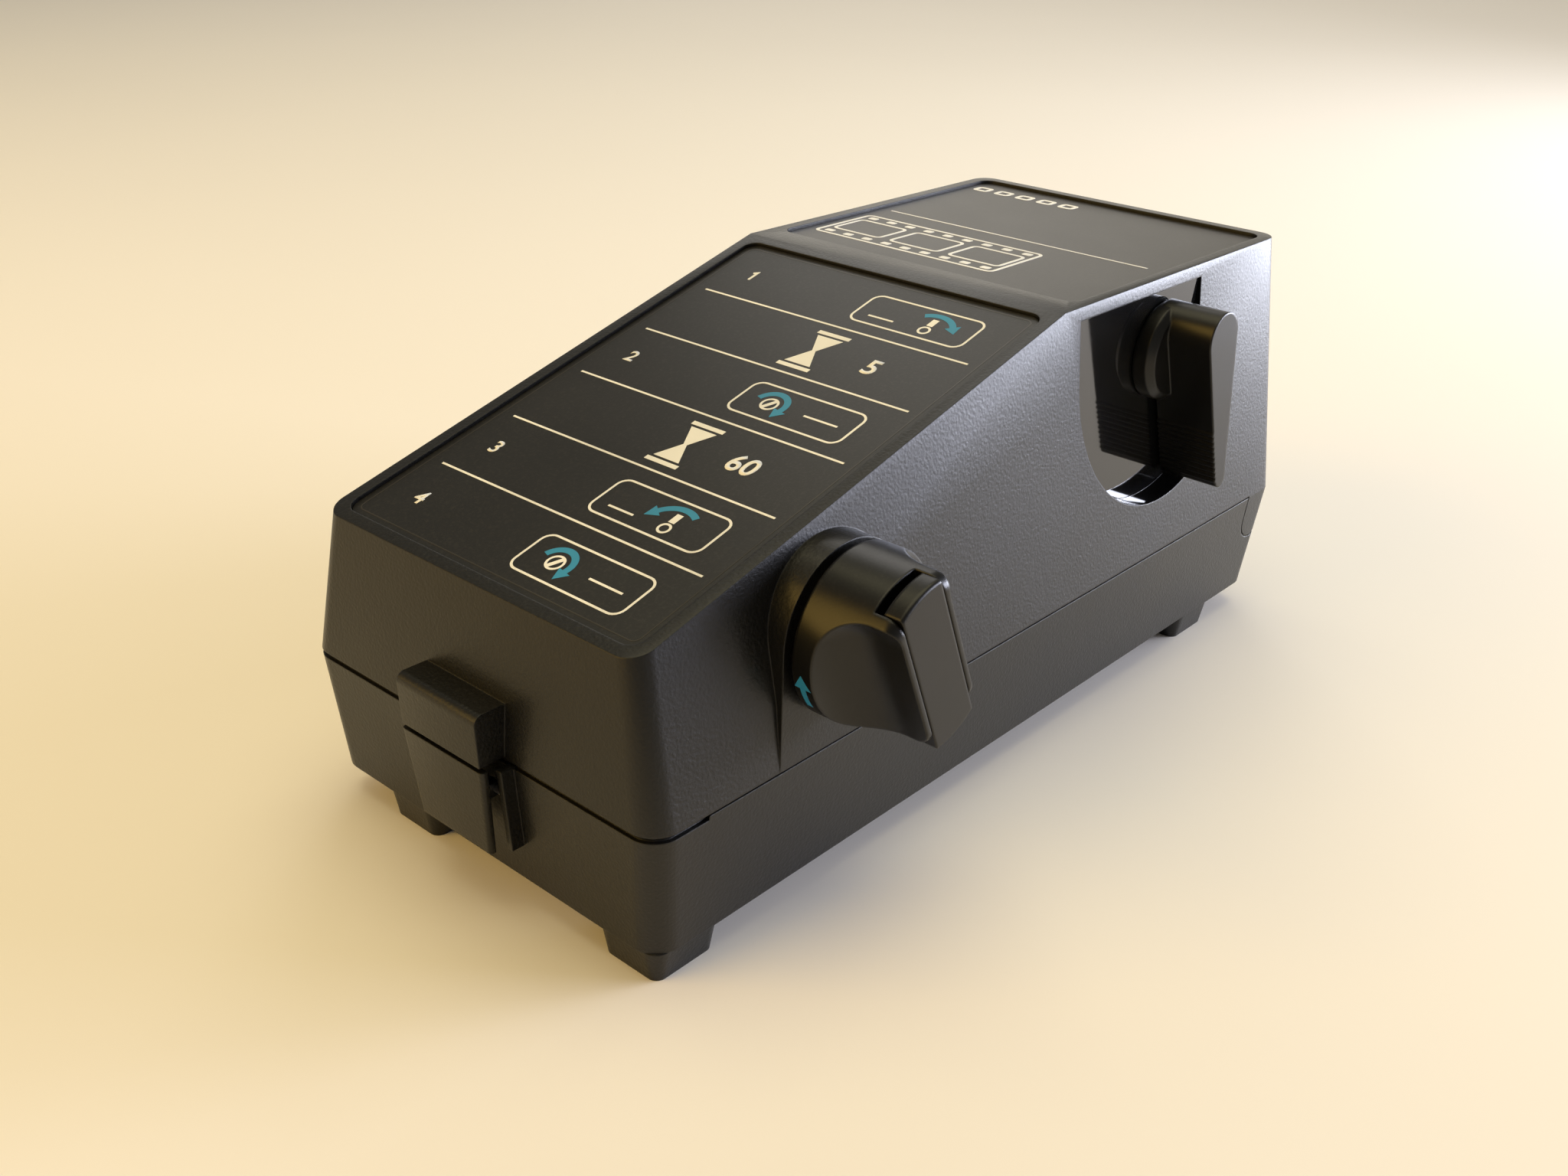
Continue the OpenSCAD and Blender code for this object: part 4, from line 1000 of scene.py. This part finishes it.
@dataclass
class InstructionPanel:
    """The printed plate on the slope, with six steps from its top to its foot.

    Places are measured to the right of the plate's middle and up the slope, and places in a sign from the
    middle of its frame. In a name, at is a middle, size a width and a height, w a width of line, h a height,
    and r or corner a radius.
    """

    drawing: Drawing
    # The lines between the steps, and the border round them all: a lighter line, the painted highlight of an
    # embossed edge.
    dividers: tuple[float, ...] = (24.7, 44.8, 65.2, 85.8, 106.0)
    reach: Flat = (-37.7, 38.6)
    line: float = 0.55
    border_at: float = 65.7
    border_size: Flat = (82.2, 121.6)
    border_corner: float = 1.6
    border_line: float = 0.3
    # The steps with their numbers and places, and the waits with their seconds and places.
    lever_steps: tuple[tuple[int, float, Turn], ...] = (
        (1, 115.8, Turn.CLOCKWISE),
        (3, 34.4, Turn.ANTICLOCKWISE),
    )
    crank_steps: tuple[tuple[int, float], ...] = ((2, 75.0), (4, 13.8))
    waits: tuple[tuple[int, float], ...] = ((5, 95.6), (60, 54.8))
    number_at: float = -31.5
    number_h: float = 3.8
    wait_at: float = 21.0
    wait_h: float = 5.2
    # The frames of the signs, and their arrows.
    sign_at: float = 17.6
    sign_size: Flat = (30.5, 11.4)
    sign_corner: float = 2.4
    arrow_w: float = 1.5
    arrow_head: float = 2.9
    # The lever's sign: its pivot, the ends of its bar above the pivot, and the ends of the line beside it.
    pivot_at: Flat = (4.0, -2.6)
    pivot_r: float = 1.3
    bar: Flat = (1.9, 4.7)
    bar_w: float = 1.6
    lever_rule: Flat = (-11.5, -4.5)
    swing_r: float = 6.3
    # The crank's sign: its knob, how far the bar on it reaches, and the ends of the line beside it.
    knob_at: Flat = (-7.0, -0.4)
    knob_r: float = 1.9
    grip: Flat = (0.8, 1.4)
    grip_w: float = 1.0
    crank_rule: Flat = (2.5, 11.5)
    turn_r: float = 3.9
    turn_arc: Flat = (165.0, -15.0)
    # The hourglass: half of its waist, its caps, and what the glass leaves free of them.
    glass_at: float = 5.0
    glass_size: Flat = (9.0, 14.0)
    glass_waist: float = 0.5
    glass_cap: float = 1.2
    glass_inset: Flat = (0.9, 1.3)

    def ground(self) -> FlatGround:
        """Gives the plate's face.

        Returns:
            The face, on which signs read towards the crank side, with their tops up the slope.
        """
        turn = self.drawing.slope_turn()
        up = Vector((math.cos(turn), 0.0, math.sin(turn)))
        right = Vector((0.0, -1.0, 0.0))
        edge = self.drawing.at(self.drawing.front_lean, 0.0, self.drawing.front_z)
        return FlatGround(edge - right.cross(up) * self.drawing.plate_sunk * MM, right, up)

    def build(self, shop: Workshop) -> None:
        """Dresses the plate and prints its steps.

        Args:
            shop: the finishes and the frame.
        """
        shop.dress(Finish.FOIL, "slope_panel")
        # The border is a painted highlight: a lighter line laid where the plate's edge catches the light.
        border = Stencil()
        outline = rounded_box((0.0, self.border_at), self.border_size, self.border_corner)
        border.stroke(outline, self.border_line, closed=True)
        shop.add(border.lay("slope_border", self.ground()), "lid", Finish.FOIL_EDGE)
        light = Stencil()
        teal = Stencil()
        for along in self.dividers:
            light.rule(self.reach, along, self.line)
        for number, along, turn in self.lever_steps:
            light.number(number, (self.number_at, along), self.number_h)
            self.lever_sign(light, teal, along, turn)
        for number, along in self.crank_steps:
            light.number(number, (self.number_at, along), self.number_h)
            self.crank_sign(light, teal, along)
        for seconds, along in self.waits:
            self.hourglass(light, (self.glass_at, along))
            light.number(seconds, (self.wait_at, along), self.wait_h)
        shop.add(light.lay("slope_print_light", self.ground()), "lid", Finish.PALE_INK)
        shop.add(teal.lay("slope_print_teal", self.ground()), "lid", Finish.TEAL_INK)

    def frame_sign(self, light: Stencil, along: float) -> None:
        """Draws the rounded frame of a sign."""
        frame_line = rounded_box((self.sign_at, along), self.sign_size, self.sign_corner)
        light.stroke(frame_line, self.line, closed=True)

    def sign_rule(self, light: Stencil, reach: Flat, along: float) -> None:
        """Draws the line beside a sign's picture."""
        light.rule((self.sign_at + reach[0], self.sign_at + reach[1]), along, self.line)

    def lever_sign(self, light: Stencil, teal: Stencil, along: float, turn: Turn) -> None:
        """Draws a bar on a pivot, with the way that it swings.

        Args:
            light: stencil of the light print.
            teal: stencil of the teal print.
            along: place of the sign, up the slope.
            turn: the way of the arrow.
        """
        self.frame_sign(light, along)
        pivot = (self.sign_at + self.pivot_at[0], along + self.pivot_at[1])
        light.stroke(ring(pivot, self.pivot_r), self.line, closed=True)
        light.stroke([(pivot[0], pivot[1] + end) for end in self.bar], self.bar_w)
        self.sign_rule(light, self.lever_rule, pivot[1])
        teal.arrow(arc(pivot, self.swing_r, *turn.value), self.arrow_w, self.arrow_head)

    def crank_sign(self, light: Stencil, teal: Stencil, along: float) -> None:
        """Draws a knob with a bar across it, and an arrow round it.

        Args:
            light: stencil of the light print.
            teal: stencil of the teal print.
            along: place of the sign, up the slope.
        """
        self.frame_sign(light, along)
        centre = (self.sign_at + self.knob_at[0], along + self.knob_at[1])
        light.stroke(ring(centre, self.knob_r), self.line, closed=True)
        ends = [(centre[0] + side * self.grip[0], centre[1] + side * self.grip[1]) for side in (-1, 1)]
        light.stroke(ends, self.grip_w)
        self.sign_rule(light, self.crank_rule, centre[1])
        teal.arrow(arc(centre, self.turn_r, *self.turn_arc), self.arrow_w, self.arrow_head)

    def hourglass(self, light: Stencil, centre: Flat) -> None:
        """Draws an hourglass.

        Args:
            light: stencil of the light print.
            centre: its middle.
        """
        half_w = self.glass_size[0] / 2
        half_h = self.glass_size[1] / 2
        aside, below = self.glass_inset
        for side in (1, -1):
            cap = centre[1] + side * half_h
            light.rule((centre[0] - half_w, centre[0] + half_w), cap, self.glass_cap)
            outline = [
                (centre[0] - half_w + aside, cap - side * below),
                (centre[0] + half_w - aside, cap - side * below),
                (centre[0] + self.glass_waist, centre[1]),
                (centre[0] - self.glass_waist, centre[1]),
            ]
            light.fill(outline)


@dataclass
class TopPanel:
    """The printed plate on the flat top, with a strip of film and a row of slide mounts.

    Places are measured to the right of the plate's middle and towards the back.
    """

    drawing: Drawing
    line: float = 0.9
    # The strip, what its pictures leave free along and across it, and the holes along its edges.
    strip_at: Flat = (-13.0, 157.5)
    strip_size: Flat = (54.0, 22.0)
    strip_corner: float = 1.5
    pictures: int = 3
    picture_gap: Flat = (3.4, 10.4)
    picture_corner: float = 1.4
    holes: int = 9
    hole_inset: float = 2.3
    hole_size: Flat = (2.6, 2.0)
    hole_corner: float = 0.5
    # The long line behind the strip, and its width as a share of the others'.
    rule_at: float = 176.8
    rule_reach: Flat = (-39.5, 37.9)
    rule_share: float = 0.7
    # The row of mounts, from its first to its last.
    mounts_at: float = 216.5
    mounts_reach: Flat = (-38.0, -10.0)
    mounts: int = 5
    mount_size: Flat = (3.8, 3.4)
    mount_corner: float = 0.7
    mount_line: float = 1.2

    def ground(self) -> FlatGround:
        """Gives the plate's face: signs read towards the crank side, with their tops to the back."""
        origin = self.drawing.at(0.0, 0.0, self.drawing.top_z - self.drawing.plate_sunk)
        return FlatGround(origin, Vector((0.0, -1.0, 0.0)), Vector((1.0, 0.0, 0.0)))

    def build(self, shop: Workshop) -> None:
        """Dresses the plate and prints the strip, its line and the mounts.

        Args:
            shop: the finishes and the frame.
        """
        shop.dress(Finish.FOIL, "top_panel")
        light = Stencil()
        self.film_strip(light)
        light.rule(self.rule_reach, self.rule_at, self.rule_share * self.line)
        first, last = self.mounts_reach
        for index in range(self.mounts):
            across = first + (last - first) * index / (self.mounts - 1)
            mount = rounded_box((across, self.mounts_at), self.mount_size, self.mount_corner)
            light.stroke(mount, self.mount_line, closed=True)
        shop.add(light.lay("top_print_light", self.ground()), "lid", Finish.PALE_INK)

    def film_strip(self, light: Stencil) -> None:
        """Draws the strip with its perforations and pictures.

        Args:
            light: stencil of the light print.
        """
        centre_x, centre_y = self.strip_at
        length, width = self.strip_size
        light.stroke(rounded_box(self.strip_at, self.strip_size, self.strip_corner), self.line, closed=True)
        hole_pitch = length / self.holes
        for index in range(self.holes):
            across = centre_x - length / 2 + (index + 0.5) * hole_pitch
            for side in (1, -1):
                hole_at = (across, centre_y + side * (width / 2 - self.hole_inset))
                light.fill(rounded_box(hole_at, self.hole_size, self.hole_corner, steps=3))
        picture_l = length / self.pictures
        picture_size = (picture_l - self.picture_gap[0], width - self.picture_gap[1])
        for index in range(self.pictures):
            across = centre_x - length / 2 + (index + 0.5) * picture_l
            picture = rounded_box((across, centre_y), picture_size, self.picture_corner)
            light.stroke(picture, self.line, closed=True)


@dataclass
class CrankKnob:
    """The crank: a knob with a folding handle, and what turns with it.

    Attributes:
        drawing: main sizes of the solids.
        arrow_y: place of the arrow on the knob's skirt.
        arrow_turn: angles of the arrow's tail and of the start of its head, in degrees.
        arrow_w: width of the arrow's line.
        arrow_head: length of its head.
        arrow_steps: number of chords along its line.
    """

    drawing: Drawing
    arrow_y: float = -57.0
    arrow_turn: Flat = (216.0, 199.0)
    arrow_w: float = 1.3
    arrow_head: float = 3.2
    arrow_steps: int = 10

    def build(self, shop: Workshop) -> None:
        """Dresses the crank and prints the arrow on its skirt.

        Args:
            shop: the finishes and the frame.
        """
        shop.dress(Finish.GRIP, "crank_knob", "crank_handle")
        shop.dress(Finish.INNER, "crank_bush")
        shop.dress(Finish.STEEL, "crank_shaft", "gear_screw", "handle_pin")
        shop.dress(Finish.NYLON, "crank_gear")
        centre = self.drawing.at(self.drawing.crank_x, self.arrow_y, self.drawing.crank_z)
        ground = RoundGround(centre, self.drawing.knob_r)
        tail, neck = (math.radians(turn) * ground.radius for turn in self.arrow_turn)
        shares = [step / self.arrow_steps for step in range(self.arrow_steps + 1)]
        teal = Stencil()
        teal.arrow([(0.0, tail + (neck - tail) * share) for share in shares], self.arrow_w, self.arrow_head)
        shop.add(teal.lay("knob_arrow", ground), "crank", Finish.TEAL_INK)


@dataclass
class SideLever:
    """The lever in its dish, with the press that it drives.

    Attributes:
        nylon: nodes of pale plastic.
        steel: nodes of bare steel.
    """

    nylon: tuple[str, ...] = ("lever_pinion", "press_bar", "press_guide")
    steel: tuple[str, ...] = ("lever_shaft", "guide_screws")

    def build(self, shop: Workshop) -> None:
        """Dresses the lever, its dish and the press.

        Args:
            shop: the finishes and the frame.
        """
        shop.dress(Finish.GRIP, "lever")
        shop.dress(Finish.DISH, "lever_dish")
        shop.dress(Finish.RUBBER, "press_pad")
        shop.dress(Finish.NYLON, *self.nylon)
        shop.dress(Finish.STEEL, *self.steel)


@dataclass
class FilmDeck:
    """The tray in the base, with the drum, the rewind fork and the guide rollers.

    Attributes:
        black: nodes of black inner plastic.
        nylon: nodes of pale plastic.
        steel: nodes of bare steel.
        rubber: nodes of rubber.
    """

    black: tuple[str, ...] = ("inner_tray", "takeup_drum")
    nylon: tuple[str, ...] = ("drum_gear", "rewind_gear")
    steel: tuple[str, ...] = ("tray_screws", "drum_shaft", "rewind_fork")
    rubber: tuple[str, ...] = ("guide_roller_front", "guide_roller_rear")

    def build(self, shop: Workshop) -> None:
        """Dresses the tray and what turns in it.

        Args:
            shop: the finishes and the frame.
        """
        shop.dress(Finish.INNER, *self.black)
        shop.dress(Finish.NYLON, *self.nylon)
        shop.dress(Finish.STEEL, *self.steel)
        shop.dress(Finish.RUBBER, *self.rubber)


@dataclass(frozen=True)
class Lamp:
    """A soft lamp that looks at the object.

    Attributes:
        name: the lamp's name.
        place: its place in the frame, in metres.
        size: its width and height, in metres.
        power: its power, in watts.
        colour: its colour.
        aim: what it looks at, in metres.
    """

    name: str
    place: Place
    size: Flat
    power: float
    colour: Colour
    aim: Place = (0.0, 0.0, 0.05)

    def build(self) -> None:
        """Hangs the lamp."""
        light = bpy.data.lights.new(self.name, "AREA")
        light.shape = "RECTANGLE"
        light.size, light.size_y = self.size
        light.energy = self.power
        light.color = self.colour
        lamp = new_object(self.name, light)
        lamp.location = self.place
        ahead = Vector(self.aim) - Vector(self.place)
        lamp.rotation_euler = ahead.to_track_quat("-Z", "Y").to_euler()


@dataclass
class Studio:
    """The pale table, the soft lamps and the room round them.

    Attributes:
        table_side: width of the table, in metres.
        table_colour: colour of the table.
        table_dull: share of that colour in the table's duller clouds.
        table_clouds: number of clouds to a metre.
        table_roughness: roughness of the table.
        table_specular: strength of the table's reflection.
        room: heights in the room, as sines above the horizon, with the light from there.
        lamps: the lamps.
    """

    table_side: float = 14.0
    table_colour: Colour = (0.93, 0.88, 0.805)
    table_dull: float = 0.97
    table_clouds: float = 3.0
    table_roughness: float = 0.7
    table_specular: float = 0.2
    room: tuple[tuple[float, Colour], ...] = (
        (0.0, (0.32, 0.31, 0.29)),
        (0.35, (0.26, 0.25, 0.23)),
        (0.65, (0.15, 0.145, 0.135)),
        (1.0, (0.26, 0.25, 0.23)),
    )
    lamps: tuple[Lamp, ...] = (
        Lamp("side_lamp", (1.2, -1.1, 0.34), (1.0, 0.6), 25.2, (0.80, 0.82, 1.0)),
        Lamp("low_lamp", (1.1, -0.53, 0.15), (0.66, 0.27), 14.2, (0.82, 0.87, 1.0)),
        Lamp("rear_lamp", (2.4, 1.4, 0.6), (2.2, 0.9), 7.0, (1.0, 0.92, 0.78)),
        Lamp("back_lamp", (1.5, 1.35, 1.45), (0.9, 0.9), 5.0, (1.0, 0.96, 0.9)),
        Lamp("ceiling_lamp", (0.1, 0.1, 1.6), (1.4, 1.4), 12.6, (1.0, 0.9, 0.56)),
        Lamp("warm_lamp", (-1.2, 0.5, 0.7), (1.0, 1.0), 11.5, (1.0, 0.62, 0.12)),
    )

    def build(self) -> None:
        """Sets the table, the lamps and the room, and how colours are shown."""
        self.build_table()
        self.build_room()
        for lamp in self.lamps:
            lamp.build()
        bpy.context.scene.view_settings.view_transform = "Standard"

    def build_table(self) -> None:
        """Lays the table as a wide sheet."""
        sheet = bmesh.new()
        bmesh.ops.create_grid(sheet, x_segments=8, y_segments=8, size=self.table_side / 2)
        mesh = new_mesh("table", sheet)
        material, board, shader = new_shader("table_paint")
        feeds = {"Vector": board.place(), "Scale": self.table_clouds, "Detail": 2.0}
        clouds = board.add("ShaderNodeTexNoise", feeds)
        dull = tuple(self.table_dull * part for part in self.table_colour)
        shade = board.mix(clouds.outputs["Fac"], (*dull, 1.0), (*self.table_colour, 1.0))
        board.feed(shader, {"Base Color": shade, "Roughness": self.table_roughness})
        board.feed(shader, {"Specular IOR Level": self.table_specular})
        mesh.materials.append(material)
        table = new_object("table", mesh)

    def build_room(self) -> None:
        """Fills the room with light that changes with height."""
        world = bpy.data.worlds.new("room")
        world.use_nodes = True
        world.node_tree.nodes.clear()
        board = NodeBoard(world.node_tree)
        toward = board.add("ShaderNodeTexCoord", {}).outputs["Generated"]
        rise = board.add("ShaderNodeSeparateXYZ", {0: toward}).outputs["Z"]
        ramp = board.add("ShaderNodeValToRGB", {0: rise})
        stops = ramp.color_ramp.elements
        for index, (height, colour) in enumerate(self.room):
            stop = stops[index] if index < 2 else stops.new(height)
            stop.position = height
            stop.color = (*colour, 1.0)
        room = board.add("ShaderNodeBackground", {"Color": ramp.outputs[0], "Strength": 1.0})
        board.add("ShaderNodeOutputWorld", {"Surface": room.outputs[0]})
        bpy.context.scene.world = world


@dataclass
class PhotoCamera:
    """The camera at the photograph's place.

    Attributes:
        drawing: main sizes of the solids.
        place: place in the drawing.
        heading: turn from +Y towards +X, in degrees.
        dip: angle below the horizon, in degrees.
        roll: turn about the line of sight, in degrees.
        lens: focal length.
        sensor: width of the sensor.
        near: distance at which sight begins, in metres.
    """

    drawing: Drawing
    place: Place = (-157.36, -219.58, 201.50)
    heading: float = 48.74
    dip: float = 26.59
    roll: float = 1.67
    lens: float = 36.46
    sensor: float = 36.0
    near: float = 0.01

    def build(self) -> None:
        """Sets the camera up and makes it the scene's own."""
        heading = math.radians(self.heading)
        dip = math.radians(self.dip)
        roll = math.radians(self.roll)
        level = Vector((math.cos(heading), -math.sin(heading), 0.0))
        flat = math.cos(dip)
        ahead = Vector((math.sin(heading) * flat, math.cos(heading) * flat, -math.sin(dip)))
        above = level.cross(ahead)
        right = level * math.cos(roll) + above * math.sin(roll)
        up = above * math.cos(roll) - level * math.sin(roll)
        data = bpy.data.cameras.new("photo_camera")
        data.lens = self.lens
        data.sensor_width = self.sensor
        data.sensor_fit = "HORIZONTAL"
        data.clip_start = self.near
        camera = new_object("photo_camera", data)
        turn = Matrix((right, up, -ahead)).transposed().to_4x4()
        camera.matrix_world = Matrix.Translation(self.drawing.at(*self.place)) @ turn
        bpy.context.scene.camera = camera


def main() -> None:
    """Builds the dressed object and its stage."""
    logging.basicConfig(level=logging.INFO, format="%(name)s: %(message)s")
    drawing = Drawing()
    PhotoCamera(drawing).build()
    Studio().build()
    shop = Workshop()
    assemblies = (
        Case(drawing),
        InstructionPanel(drawing),
        TopPanel(drawing),
        CrankKnob(drawing),
        SideLever(),
        FilmDeck(),
    )
    for assembly in assemblies:
        assembly.build(shop)


if __name__ == "__main__":
    main()
